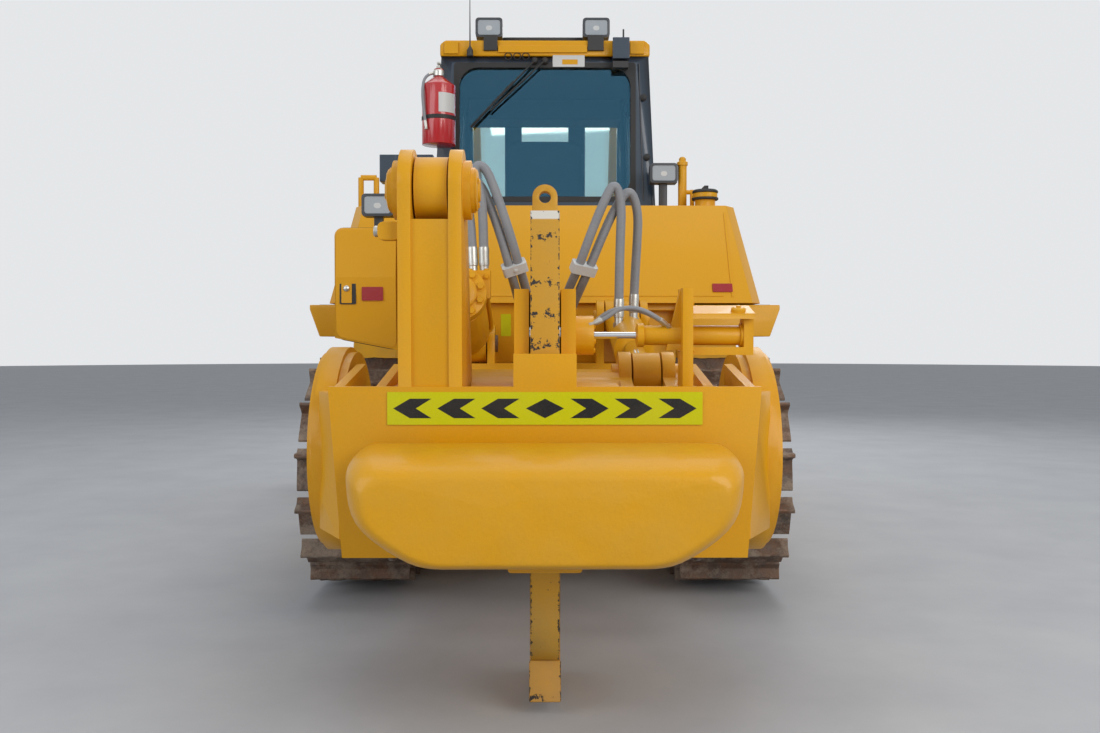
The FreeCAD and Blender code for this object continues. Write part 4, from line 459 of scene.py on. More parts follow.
@dataclass(frozen=True)
class Film(Finish):
    """Reflecting film with fine cells pressed into it."""

    def pattern(self, wire: Wiring, weather: bpy.types.Node) -> tuple:
        """A cell texture gives the pressed cells in tone and height."""
        place = wire.place()
        cells = wire.node("ShaderNodeTexVoronoi", {"feature": "DISTANCE_TO_EDGE"}, Vector=place, Scale=260.0)
        rim = wire.reach(cells.outputs["Distance"], 0.0, 0.08)
        colour = wire.mix(wire.sum_up("MULTIPLY", wire.sum_up("SUBTRACT", 1.0, rim), 0.03), weather.outputs["Color"],
                          (0.9, 0.9, 0.9, 1))
        return colour, weather.outputs["Roughness"], wire.bump(rim, 0.2, 0.0006)


@dataclass(frozen=True)
class Cloth(Finish):
    """Woven seat cover."""

    def pattern(self, wire: Wiring, weather: bpy.types.Node) -> tuple:
        """Two crossing waves make the weave's height."""
        place = wire.place()
        waves = [wire.node("ShaderNodeTexWave", {"bands_direction": axis}, Vector=place, Scale=180.0).outputs["Fac"]
                 for axis in ("X", "Z")]
        weave = wire.sum_up("MULTIPLY", *waves)
        colour = wire.mix(wire.sum_up("MULTIPLY", weave, 0.4), weather.outputs["Color"], (0.16, 0.17, 0.2, 1))
        return colour, weather.outputs["Roughness"], wire.bump(weave, 0.4, 0.002)


YELLOW = (0.74, 0.352, 0.003)
MATT = {"Specular IOR Level": 0.3}
PAINT = Finish("machine_yellow", YELLOW, coat=0.08, dust=(0.58, 0.33, 0.05), extra=MATT)
OLD_PAINT = Finish("machine_yellow_low", YELLOW, 0.46, Soil.WORKED, coat=0.03, dust=(0.38, 0.22, 0.06), extra=MATT)
CAST_PAINT = CastPaint("yellow_cast_paint", YELLOW, 0.38, coat=0.15, dust=(0.60, 0.35, 0.05), extra=MATT)
SHANK_PAINT = ChippedPaint("yellow_chipped_paint", (0.62, 0.31, 0.015), 0.48, Soil.WORKED, dust=(0.42, 0.28, 0.10),
                           white=(1.905, 1.952))
GUARD_PAINT = ChippedPaint("worn_guard_paint", (0.55, 0.27, 0.03), 0.55, Soil.WORKED, dust=(0.3, 0.2, 0.12),
                           edge=0.062, bands=(0.08, 0.3))
TRACK_STEEL = Mud("muddy_track_steel", (0.115, 0.088, 0.072), 0.55, Soil.MUDDY, metallic=0.35,
                  dust=(0.42, 0.335, 0.26))
RUBBED_STEEL = Mud("rubbed_steel", (0.22, 0.19, 0.165), 0.42, metallic=0.8, dust=(0.24, 0.18, 0.13))
ENGINE_IRON = Finish("cast_iron", (0.09, 0.09, 0.09), 0.6, Soil.WORKED, metallic=0.3)
GRILLE_BLACK = Finish("grille_enamel", (0.02, 0.02, 0.022), 0.5)
CAB_PAINT = Finish("cab_navy_paint", (0.022, 0.042, 0.070), 0.32, Soil.CLEAN, coat=0.3, dust=(0.2, 0.2, 0.2))
CHROME = Finish("hard_chrome", (0.78, 0.79, 0.8), 0.09, Soil.CLEAN, metallic=1.0, bump=0.002)
ZINC = Finish("zinc_fitting", (0.55, 0.54, 0.5), 0.35, Soil.CLEAN, metallic=0.9)
HOSE = Finish("hose_guard", (0.25, 0.26, 0.28), 0.5, Soil.WORKED, dust=(0.42, 0.40, 0.37), patch=9.0)
# Black rubber, also used for the painted shade round the locker's latch.
RUBBER_AND_SHADE = Finish("black_rubber_and_painted_shade", (0.012, 0.012, 0.013), 0.6, Soil.CLEAN)
PLASTIC = Finish("black_plastic", (0.02, 0.02, 0.021), 0.45, Soil.CLEAN, bump=0.03)
HOUSING = Finish("lamp_housing", (0.05, 0.056, 0.065), 0.45, Soil.CLEAN, bump=0.03)
DASH = Finish("grey_dash", (0.055, 0.058, 0.065), 0.6, Soil.CLEAN, bump=0.04)
EXHAUST = Finish("sooty_steel", (0.025, 0.022, 0.02), 0.7, dust=(0.22, 0.11, 0.06))
RED = Finish("red_enamel", (0.52, 0.012, 0.018), 0.2, Soil.CLEAN, coat=0.5)
REFLECTOR = Film("red_reflector", (0.35, 0.006, 0.012), 0.25, Soil.CLEAN)
LIME = Film("lime_film", (0.60, 0.60, 0.0), 0.4, Soil.CLEAN, extra={"Specular IOR Level": 0.1})
BLACK_FILM = Film("black_film", (0.012, 0.012, 0.012), 0.35, Soil.CLEAN, extra={"Specular IOR Level": 0.2})
# White label film, also used for the painted glint on the lamp lenses.
WHITE_LABEL_AND_GLINT = Film("white_label_and_painted_glint", (0.62, 0.63, 0.62), 0.4, Soil.CLEAN)
LENS = Finish("lamp_lens", (0.38, 0.42, 0.45), 0.12, Soil.CLEAN, coat=0.6, dust=(0.4, 0.4, 0.4), bump=0.05)
SEAT_CLOTH = Cloth("seat_cloth", (0.02, 0.035, 0.05), 0.85, Soil.CLEAN)
GLASS = Finish("tinted_glass", (0.60, 0.77, 0.80), 0.02, Soil.CLEAN, bump=0.0,
               extra={"Transmission Weight": 1.0, "IOR": 1.95, "Specular Tint": (0.22, 0.60, 0.95, 1.0)})


class Workshop:
    """Makes the pieces in the frame."""

    def __init__(self, frame: dict) -> None:
        """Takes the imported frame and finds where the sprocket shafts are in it."""
        low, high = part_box("sprockets")
        self.origin = float(low.y + high.y) / 2
        self.frame = frame
        self.joints = {joint["name"]: joint for joint in frame["joints"]}

    def pivot(self, joint: str) -> Array:
        """A joint's place, measured from the sprocket shafts."""
        return np.array(self.joints[joint]["pos_m"], float) - (0, self.origin, 0)

    def add(self, name: str, skins: list[Skin], finish: Finish, body: str = "tractor", slot: str = "",
            bevel: float = 0.0, angle: float = 35.0) -> bpy.types.Object:
        """One mesh object from skins, shaded, finished and riding on a body.

        Args:
            name: the piece's name.
            skins: its surfaces.
            finish: its finish.
            body: the CAD body that it moves with, or an empty string where the caller places it.
            slot: the record's material slot; not used.
            bevel: width of the bevel on its sharp edges, in metres.
            angle: degrees between faces past which an edge is sharp.

        Returns:
            The object.
        """
        skin = joined(skins)
        mesh = bpy.data.meshes.new(name)
        faces = [row for block_of in skin.faces for row in block_of.tolist()]
        mesh.from_pydata((skin.points + (0, self.origin, 0)).tolist(), [], faces)
        mesh.validate()
        mesh.polygons.foreach_set("use_smooth", np.ones(len(mesh.polygons), bool))
        mesh.set_sharp_from_angle(angle=math.radians(angle))
        mesh.materials.append(finish.material())
        piece = bpy.data.objects.new(name, mesh)
        bpy.context.scene.collection.objects.link(piece)
        if bevel:
            self.soften(piece, bevel)
        if body:
            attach(piece, body)
        LOG.info("%s: %d faces on %s", name, len(mesh.polygons), body or "two bodies")
        return piece

    def soften(self, piece: bpy.types.Object, width: float) -> None:
        """Bevels a piece's sharp edges."""
        bevel = piece.modifiers.new("edges", "BEVEL")
        bevel.width = width
        bevel.segments = 2
        bevel.limit_method = "ANGLE"
        bevel.angle_limit = math.radians(32)
        bevel.harden_normals = True

    def dress(self, node: str, finish: Finish, bevel: float = 0.0,
              painted: tuple[Finish, Pair, float] | None = None) -> None:
        """Gives a CAD node its finish, and bevels its sharp edges once its loose triangles are welded.

        Args:
            node: the node's name.
            finish: its finish.
            bevel: width of the bevel, in metres; 0 leaves the edges sharp.
            painted: a second finish for what lies inside a round in the side plane, its centre (y, z) and radius.
        """
        piece = self.frame["nodes"][node]
        piece.data.materials.clear()
        piece.data.materials.append(finish.material())
        if painted:
            second, centre, radius = painted
            piece.data.materials.append(second.material())
            middles = np.zeros(len(piece.data.polygons) * 3)
            piece.data.polygons.foreach_get("center", middles)
            middles = middles.reshape(-1, 3) - (0, self.origin, 0)
            inside = np.linalg.norm(middles[:, 1:] - centre, axis=1) < radius
            piece.data.polygons.foreach_set("material_index", inside.astype(int))
        if not bevel:
            return
        piece.data.polygons.foreach_set("use_smooth", np.ones(len(piece.data.polygons), bool))
        weld = piece.modifiers.new("weld", "WELD")
        weld.merge_threshold = 0.00002
        flat = piece.modifiers.new("flat", "DECIMATE")
        flat.decimate_type = "DISSOLVE"
        flat.angle_limit = math.radians(0.4)
        self.soften(piece, bevel)


@dataclass
class Tracks:
    """Both track loops: shoes with one grouser, links, pins and bolts along the line of pins."""

    gauge: float = 2.10
    shoe_width: float = 0.56
    shoes: int = 42
    shoe_thick: float = 0.020
    shoe_gap: float = 0.008
    grouser_height: float = 0.078
    link_inner: float = 0.062
    link_outer: float = 0.070
    link_thick: float = 0.046
    link_spread: float = 0.085
    sprocket: Point = (0.0, 0.700, 0.496)
    idler: Point = (3.400, 0.600, 0.420)
    ground: Pair = (0.560, 2.920)
    turn_radius: float = 0.060

    def pins(self) -> tuple[Array, Array]:
        """The pins' places in the side plane, and the direction of each link from its pin to the next.

        The line of pins is a belt round four circles: each straight run touches two of them on the outside, and
        the circle between two runs adds an arc. Pins lie an even distance apart along it.
        """
        low = self.link_outer + self.shoe_thick + self.grouser_height
        circles = np.array((self.sprocket, (self.ground[0], low + self.turn_radius, self.turn_radius),
                            (self.ground[1], low + self.turn_radius, self.turn_radius), self.idler))
        after = np.roll(circles, -1, 0)
        run = after[:, :2] - circles[:, :2]
        far = np.linalg.norm(run, axis=1)
        turn = np.arctan2(run[:, 1], run[:, 0]) - np.arccos((circles[:, 2] - after[:, 2]) / far)
        off = np.stack((np.cos(turn), np.sin(turn)), -1)
        start, end = circles[:, :2] + circles[:, 2:] * off, after[:, :2] + after[:, 2:] * off
        sweep = (np.roll(turn, -1) - turn) % (2 * math.pi)
        line = []
        for i in range(len(circles)):
            angle = turn[i] + np.linspace(0, sweep[i], 60)
            arc = after[i, :2] + after[i, 2] * np.stack((np.cos(angle), np.sin(angle)), -1)
            line += [start[i][None], end[i][None], arc[1:-1]]
        line = np.concatenate(line + [start[:1]])
        far = distances(line)
        at = np.arange(self.shoes) * far[-1] / self.shoes
        pins = np.stack([np.interp(at, far, line[:, i]) for i in (0, 1)], -1)
        return pins, np.roll(pins, -1, 0) - pins

    def link_frames(self, x: float) -> tuple[Array, float]:
        """Matrices with X across the machine, Y along each link and Z outwards from the loop."""
        pins, run = self.pins()
        pitch = float(np.linalg.norm(run, axis=1).mean())
        along = unit(run)
        frames = np.tile(np.eye(4), (self.shoes, 1, 1))
        frames[:, 1:3, 1] = along
        frames[:, 1:3, 2] = np.stack((along[:, 1], -along[:, 0]), -1)
        frames[:, 0, 0] = 1.0
        frames[:, 0, 3] = x
        frames[:, 1:3, 3] = pins
        return frames, pitch

    def shoe(self, pitch: float) -> Skin:
        """A shoe's section in (along, outwards), carried across the width, its grouser's top worn in waves."""
        top = self.link_outer + self.shoe_thick
        low, g, tall = self.link_outer, self.shoe_gap / 2, self.grouser_height
        section = np.array((
            (g + 0.004, low), (pitch - g, low), (pitch - g + 0.006, low + 0.006), (pitch - g, top - 0.003),
            (pitch - g - 0.03, top), (g + 0.075, top), (g + 0.062, top + 0.004), (g + 0.056, top + 0.02),
            (g + 0.052, top + tall - 0.006), (g + 0.047, top + tall), (g + 0.036, top + tall),
            (g + 0.030, top + tall - 0.006), (g + 0.022, top + 0.018), (g + 0.010, top + 0.004), (g, top - 0.004),
            (g, low + 0.004),
        ))
        across = np.linspace(-self.shoe_width / 2, self.shoe_width / 2, 15)
        wear = 0.004 * np.sin(across * 41) * np.sin(across * 17 + 1)
        stack = np.zeros((len(across), len(section), 3))
        stack[..., 0] = across[:, None]
        stack[..., 1] = section[:, 0]
        tip = np.clip((section[:, 1] - top) / tall, 0, 1)
        stack[..., 2] = section[:, 1] - tip * (0.003 - wear[:, None])
        return rings(stack)

    def link(self, pitch: float, side: int) -> Skin:
        """One link plate: a bar between two round ends, stepped outwards at its far end as real links are."""
        inner, outer = -self.link_inner, self.link_outer
        outline = np.array((
            (-0.045, inner + 0.022), (-0.02, inner + 0.002), (pitch * 0.5, inner), (pitch + 0.02, inner + 0.002),
            (pitch + 0.045, inner + 0.022), (pitch + 0.052, 0.0), (pitch + 0.04, outer - 0.02), (pitch - 0.03, outer),
            (0.03, outer), (-0.04, outer - 0.02), (-0.052, 0.0),
        ))
        skin = prism(outline, -0.5, 0.5)
        x, y, z = skin.points[:, 2], skin.points[:, 0], skin.points[:, 1]
        step = side * 0.012 * np.tanh((y - pitch / 2) * 60)
        thick = self.link_thick * 0.62
        return Skin(np.stack((side * self.link_spread + x * thick + step, y, z), -1), skin.faces)

    def build(self, shop: Workshop) -> None:
        """Makes each side's shoes, links and bolts, in place of the plain loops."""
        hub = lathe([(0.027, -0.155), (0.031, -0.15), (0.031, 0.15), (0.027, 0.155)], 14)
        pin = Skin(hub.points[:, (2, 1, 0)], [f[:, ::-1] for f in hub.faces])
        bolt_at = self.link_outer + self.shoe_thick
        for side, label in ((-1, "left"), (1, "right")):
            frames, pitch = self.link_frames(side * self.gauge / 2)
            places = np.array([(x * self.link_spread + d, y, bolt_at) for x in (-1, 1) for d in (-0.012, 0.03)
                               for y in (0.105, 0.165)])
            heads = bolt(0.034, False).moved(frames_at(places, (0, 0, 1)))
            chain = joined([self.link(pitch, -1), self.link(pitch, 1), pin]).moved(frames)
            shoes = shop.add(f"track_shoes_{label}", [self.shoe(pitch).moved(frames), heads.moved(frames)],
                             TRACK_STEEL, slot="track_steel", angle=28)
            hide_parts(f"track_{label}")
            shop.add(f"track_chain_{label}", [chain], TRACK_STEEL, slot="track_steel", bevel=0.003)


@dataclass
class Undercarriage:
    """Bolts and covers on the rolling gear."""

    track_x: float = 1.05
    sprocket_z: float = 0.70
    cover_face: float = 1.310
    sprocket_half: float = 0.035

    def build(self, shop: Workshop) -> None:
        """Finishes the rolling gear and adds its bolt circles."""
        for node in ("sprockets", "idlers", "track_rollers"):
            shop.dress(node, RUBBED_STEEL, 0.003)
        for node in ("track_frames", "equalizer_bar", "rear_case", "main_frame"):
            shop.dress(node, OLD_PAINT, 0.004)
        outer = self.cover_face + 0.0003
        rings_of_bolts = [
            bolt(0.040).moved(ring_of((outer, 0.0, self.sprocket_z), (1, 0, 0), 0.190, 12)),
            bolt(0.034).moved(ring_of((outer - 0.06, 0.0, self.sprocket_z), (1, 0, 0), 0.256, 20)),
            bolt(0.036).moved(
                ring_of((self.track_x + self.sprocket_half, 0.0, self.sprocket_z), (1, 0, 0), 0.345, 25)),
        ]
        cap = lathe([(0.062, 0.0), (0.066, 0.004), (0.066, 0.018), (0.055, 0.026), (0.0, 0.028)], 24)
        rings_of_bolts.append(cap.moved(frames_at((outer, 0.0, self.sprocket_z), (1, 0, 0))))
        shop.add("final_drive_bolts", [mirrored(joined(rings_of_bolts))], OLD_PAINT, slot="yellow_paint")
        guard_y = np.linspace(0.75, 2.75, 9)
        guard = np.stack((np.full(9, self.track_x + 0.1605), guard_y, np.full(9, 0.40)), -1)
        shop.add("roller_guard_bolts", [mirrored(bolt(0.03).moved(frames_at(guard, (1, 0, 0))))], OLD_PAINT,
                 slot="yellow_paint")


@dataclass
class PushBlock:
    """The cast block on the beam's rear face."""

    half: float = 0.690
    low: float = 0.675
    high: float = 1.100
    front: float = -2.3753
    depth: float = 0.36
    corner: Pair = (0.215, 0.150)
    draw: Point = (0.090, 0.045, 0.080)
    round_depth: float = 0.20

    def outline(self) -> Array:
        """The block seen from behind: level top with round corners, upright sides, slanted lower corners."""
        arc = np.linspace(0, math.pi / 2, 9)
        radius = 0.10
        top = np.stack((self.half - radius + radius * np.cos(arc), self.high - radius + radius * np.sin(arc)), -1)
        dx, dz = self.corner
        x, z = self.half, self.low
        slant = np.array(((x - dx - 0.09, z), (x - dx - 0.03, z + 0.008), (x - dx + 0.03, z + 0.034),
                          (x - 0.075, z + dz - 0.042), (x - 0.03, z + dz + 0.012), (x - 0.008, z + dz + 0.07)))
        level = np.stack((np.linspace(0.0, x - dx - 0.14, 6), np.full(6, z)), -1)
        right = np.concatenate((level, slant, top, ((x - 0.25, self.high), (x - 0.45, self.high))))
        left = right[:0:-1] * (-1, 1)
        return np.concatenate((right, ((0.0, self.high),), left))

    def build(self, shop: Workshop) -> None:
        """A stack of the outline from the plate to the rear face.

        A first ring lies on the plate. The rest follow a quarter ellipse: depth grows with sin a while the outline
        is drawn in by 1 - cos a, by its own amount at the sides, at the bottom and at the top. The top also
        slopes down towards the rear. Rings inside the rear face close it with a slight dome.
        """
        outline = self.outline()
        middle = np.array((0.0, (self.low + self.high) / 2))
        swing = np.linspace(0, math.pi / 2, 13)
        back = self.depth - self.round_depth
        depth = np.concatenate(((0.0, back * 0.5), back + self.round_depth * np.sin(swing)))
        draw = np.concatenate(((0.0, 0.0), 1 - np.cos(swing)))[:, None]
        side, under, over = self.draw
        off = outline - middle
        share_x = off[:, 0] / self.half
        share_z = off[:, 1] / ((self.high - self.low) / 2)
        moved = np.stack((off[None, :, 0] - draw * share_x * side,
                          off[None, :, 1] - draw * np.where(share_z > 0, share_z * over, share_z * under)), -1)
        slope = np.clip(depth / self.depth, 0, 1)[:, None] * 0.030
        moved[..., 1] -= slope * np.clip(share_z, 0, 1)
        shrink = np.linspace(0.92, 0.08, 8)[:, None, None]
        core = moved[-1].mean(0)
        inner = core + (moved[-1] - core)[None] * shrink
        flat = np.concatenate((moved, inner)) + middle
        dome = self.depth + 0.008 * (1 - shrink[:, 0, 0] ** 2)
        depth = np.concatenate((depth, dome))[:, None]
        lumps = 0.0022 * np.sin(flat[..., 0] * 13 + 1) * np.cos(flat[..., 1] * 19) * np.clip(depth / 0.1, 0, 1)
        y = self.front - depth - lumps
        piece = shop.add("push_block_casting", [rings(np.stack((flat[..., 0], y, flat[..., 1]), -1))], CAST_PAINT,
                         "ripper_beam", "yellow_paint", angle=60)
        smooth = piece.modifiers.new("smooth", "SUBSURF")
        smooth.levels = smooth.render_levels = 1
        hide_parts("push_block")
        rim = rounded(0.26, 0.034, 0.010, 3) + (0, self.low - 0.010)
        collar = rear_prism(rim, self.front - 0.18, self.front + 0.02)
        shop.add("block_collar", [collar], CAST_PAINT, "ripper_beam", "yellow_paint", bevel=0.004)


@dataclass
class Chevrons:
    """Black arrows on the lime board, three a side and a diamond in the middle."""

    half_height: float = 0.0355
    pitch: float = 0.160
    arrow: float = 0.071

    def build(self, shop: Workshop) -> None:
        """Each arrow is a six-cornered outline a hair proud of the board."""
        low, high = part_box("warning_sign")
        rear = float(low.y) - shop.origin
        middle = float(low.z + high.z) / 2
        h, a = self.half_height, self.arrow
        arrow = np.array(((a, 0), (a * 0.15, h), (-a * 0.95, h), (-a * 0.15, 0), (-a * 0.95, -h), (a * 0.15, -h)))
        diamond = np.array(((0.069, 0), (0, h), (-0.069, 0), (0, -h)))
        skins = [rear_prism(diamond + (0, middle), rear - 0.0007, rear + 0.0001)]
        for i in (1, 2, 3):
            shape = rear_prism(arrow + (self.pitch * i, middle), rear - 0.0007, rear + 0.0001)
            skins.append(mirrored(shape))
        shop.dress("warning_sign", LIME)
        shop.add("sign_chevrons", skins, BLACK_FILM, "ripper_beam", "sign_yellow")


@dataclass
class Ripper:
    """Finish and fastenings of the ripper's frame, arms, shank and cylinders."""

    tower_x: float = -0.418
    tower_eye: Pair = (-2.24, 2.02)
    tower_reach: float = 0.1583
    lift_eye: Pair = (-1.73, 1.30)
    tilt_gland: float = 0.86

    def build(self, shop: Workshop) -> None:
        """Dresses the CAD pieces and adds caps, bolts and the gland's wiper ring."""
        for node in ("ripper_beam", "ripper_bracket", "ripper_arm", "pin_puller"):
            shop.dress(node, PAINT, 0.004)
        shop.dress("tilt_barrel", PAINT, 0.003)
        shop.dress("lift_barrel", PAINT, 0.003)
        shop.dress("ripper_shank", SHANK_PAINT, 0.004)
        shop.dress("ripper_tip", GUARD_PAINT, 0.006)
        for node in ("beam_pins", "tilt_pin"):
            shop.dress(node, RUBBED_STEEL, 0.002)
        shop.dress("pin_puller_rod", CHROME)
        shop.dress("tilt_rod", CHROME, painted=(PAINT, self.tower_eye, 0.128))
        shop.dress("lift_rod", CHROME, painted=(PAINT, self.lift_eye, 0.112))
        self.pin_caps(shop)
        self.flange(shop)

    def pin_caps(self, shop: Workshop) -> None:
        """Stepped caps and keeper bolts on the tower's pin, and smaller caps over bolted plates on the cheeks."""
        y, z = self.tower_eye
        cap = lathe([(0.078, 0.0), (0.078, 0.006), (0.07, 0.010), (0.045, 0.011), (0.040, 0.018), (0.0, 0.020)], 32)
        skins = []
        for side in (-1, 1):
            face = self.tower_x + side * self.tower_reach
            skins.append(cap.moved(frames_at((face, y, z), (side, 0, 0))))
            skins.append(bolt(0.022).moved(ring_of((face + side * 0.008, y, z), (side, 0, 0), 0.056, 3, 0.5)))
        cheek = lathe([(0.075, 0.0), (0.075, 0.012), (0.066, 0.02), (0.0, 0.022)], 28)
        pivot = shop.pivot("beam_level")
        for side in (-1, 1):
            at = (side * 0.9285, pivot[1], pivot[2])
            plate = lathe([(0.115, 0.0), (0.115, 0.012), (0.105, 0.016), (0.0, 0.016)], 32)
            skins.append(plate.moved(frames_at(at, (side, 0, 0))))
            skins.append(bolt(0.03).moved(ring_of((side * 0.944, pivot[1], pivot[2]), (side, 0, 0), 0.094, 6)))
            skins.append(cheek.moved(frames_at((side * 0.944, pivot[1], pivot[2]), (side, 0, 0))))
        shop.add("ripper_pin_caps", skins, PAINT, "ripper_beam", "yellow_paint")

    def flange(self, shop: Workshop) -> None:
        """Ring of bolts on the tilt cylinder's gland flange, and its wiper ring."""
        head = shop.pivot("tilt_barrel_swing")
        head[0] = self.tower_x
        ahead = np.array(shop.joints["tilt_rod_stroke"]["axis"], float)
        nose = head + ahead * self.tilt_gland
        skins = [bolt(0.036).moved(ring_of(tuple(nose), tuple(ahead), 0.112, 10, 0.3)),
                 lathe([(0.09, 0.0), (0.09, 0.01), (0.075, 0.022), (0.056, 0.024), (0.056, 0.0)], 36).moved(
                     frames_at(nose, ahead))]
        shop.add("tilt_flange_bolts", skins, PAINT, "tilt_barrel", "yellow_paint")


@dataclass
class Hose:
    """One hydraulic hose in a spiral guard, with a crimped fitting at each end."""

    name: str
    route: list[Point]
    radius: float
    bodies: tuple[str, str]
    guard: bool = True

    def build(self, shop: Workshop) -> None:
        """Makes the hose and its ends.

        The tube's radius swells along a helix: a ridge where the distance along less the turn is near a whole
        pitch.
        """
        line = resampled(line_of(self.route), 0.004 if self.guard else 0.012)
        sides = 14
        radius = np.full((len(line), sides), self.radius)
        if self.guard:
            far = np.linspace(0, length_of(line), len(line))[:, None]
            phase = (far / 0.022 - np.arange(sides)[None] / sides) % 1.0
            radius = self.radius * (0.955 + 0.045 * np.clip(np.minimum(phase, 1 - phase) * 7, 0, 1))
        first, second = self.bodies
        piece = shop.add(self.name, [tube(line, radius, sides)], HOSE, "" if first != second else first)
        if first != second:
            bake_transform(piece)
        for tag, end, inward, body in (("start", line[0], line[1] - line[0], first),
                                       ("end", line[-1], line[-2] - line[-1], second)):
            r = self.radius
            crimp = r * 4.0
            ferrule = lathe([(r * 0.7, -r * 1.6), (r * 0.95, -r * 1.5), (r * 0.95, -0.1 * r), (r * 1.10, 0.0),
                             (r * 1.16, crimp * 0.25), (r * 1.10, crimp * 0.5), (r * 1.16, crimp * 0.75),
                             (r * 1.10, crimp), (r * 0.9, crimp + 0.1 * r)], 18)
            nut = lathe([(r * 0.8, -r * 2.3), (r * 1.2, -r * 2.2), (r * 1.2, -r * 1.2), (r * 0.8, -r * 1.1)], 6)
            shop.add(f"{self.name}_{tag}", [joined([ferrule, nut]).moved(frames_at(end, inward))], ZINC, body,
                     angle=30)


@dataclass
class Hydraulics:
    """The hoses that loop over the ripper's cylinders, with their twin clamps."""

    radius: float = 0.023

    def hoses(self) -> list[Hose]:
        """Routes read off the photograph: up behind the shank, through a clamp, over a loop and down to the ports."""
        left, right = ("tractor", "tilt_pin"), ("tractor", "lift_barrel")
        return [
            Hose("tilt_hose_outer", [(-0.055, -0.38, 1.345), (-0.06, -0.42, 1.48), (-0.075, -0.58, 1.62),
                                     (-0.10, -0.80, 1.73), (-0.130, -0.94, 1.835), (-0.175, -0.985, 1.99),
                                     (-0.235, -1.00, 2.17), (-0.295, -1.01, 2.32), (-0.355, -1.02, 2.31),
                                     (-0.310, -1.02, 2.17), (-0.303, -1.01, 2.01), (-0.300, -1.00, 1.826)],
                 self.radius, left),
            Hose("tilt_hose_inner", [(-0.105, -0.38, 1.345), (-0.11, -0.42, 1.47), (-0.125, -0.56, 1.60),
                                     (-0.145, -0.78, 1.70), (-0.170, -0.93, 1.795), (-0.21, -0.955, 1.95),
                                     (-0.265, -0.965, 2.11), (-0.325, -0.97, 2.25), (-0.395, -0.98, 2.24),
                                     (-0.375, -0.99, 2.10), (-0.360, -1.00, 1.97), (-0.355, -1.00, 1.826)],
                 self.radius, left),
            Hose("lift_hose_inner", [(0.055, -0.38, 1.345), (0.06, -0.42, 1.48), (0.08, -0.58, 1.62),
                                     (0.13, -0.78, 1.74), (0.172, -0.89, 1.8335), (0.225, -0.92, 1.98),
                                     (0.285, -0.93, 2.13), (0.345, -0.925, 2.255), (0.385, -0.91, 2.16),
                                     (0.378, -0.90, 1.95), (0.374, -0.89, 1.76), (0.372, -0.89, 1.575)],
                 self.radius, right),
            Hose("lift_hose_outer", [(0.105, -0.38, 1.345), (0.11, -0.42, 1.47), (0.13, -0.56, 1.60),
                                     (0.175, -0.75, 1.71), (0.215, -0.86, 1.80), (0.275, -0.875, 1.95),
                                     (0.345, -0.875, 2.11), (0.425, -0.87, 2.235), (0.475, -0.84, 2.12),
                                     (0.470, -0.81, 1.94), (0.460, -0.79, 1.76), (0.455, -0.79, 1.602)],
                 self.radius, right),
        ]

    def build(self, shop: Workshop) -> None:
        """Makes the hoses, and a clamp round each pair that bends with the first hose of the pair."""
        hoses = self.hoses()
        for hose in hoses:
            hose.build(shop)
        for name, first, second in (("tilt_hose_clamp", *hoses[:2]), ("lift_hose_clamp", *hoses[2:])):
            spots = [line_of(h.route) for h in (first, second)]
            spots = [line[np.linalg.norm(line - np.array(h.route[4]), axis=1).argmin()]
                     for line, h in zip(spots, (first, second))]
            run = unit(np.array(first.route[5]) - np.array(first.route[3]))
            aside = unit(spots[1] - spots[0] - run * ((spots[1] - spots[0]) @ run))
            frame = np.eye(4)
            frame[:3, 0], frame[:3, 1], frame[:3, 2] = aside, np.cross(run, aside), run
            frame[:3, 3] = (spots[0] + spots[1]) / 2
            width = float(np.linalg.norm(spots[1] - spots[0])) + 2 * self.radius + 0.022
            body = prism(rounded(width, 2 * self.radius + 0.020, 0.012, 4), -0.026, 0.026)
            head = bolt(0.020).moved(frames_at(((0.0, self.radius + 0.0101, 0.0),), (0, 1, 0)))
            clamp = shop.add(name, [body.moved(frame), head.moved(frame)], WHITE_LABEL_AND_GLINT, "", bevel=0.003)
            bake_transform(clamp)


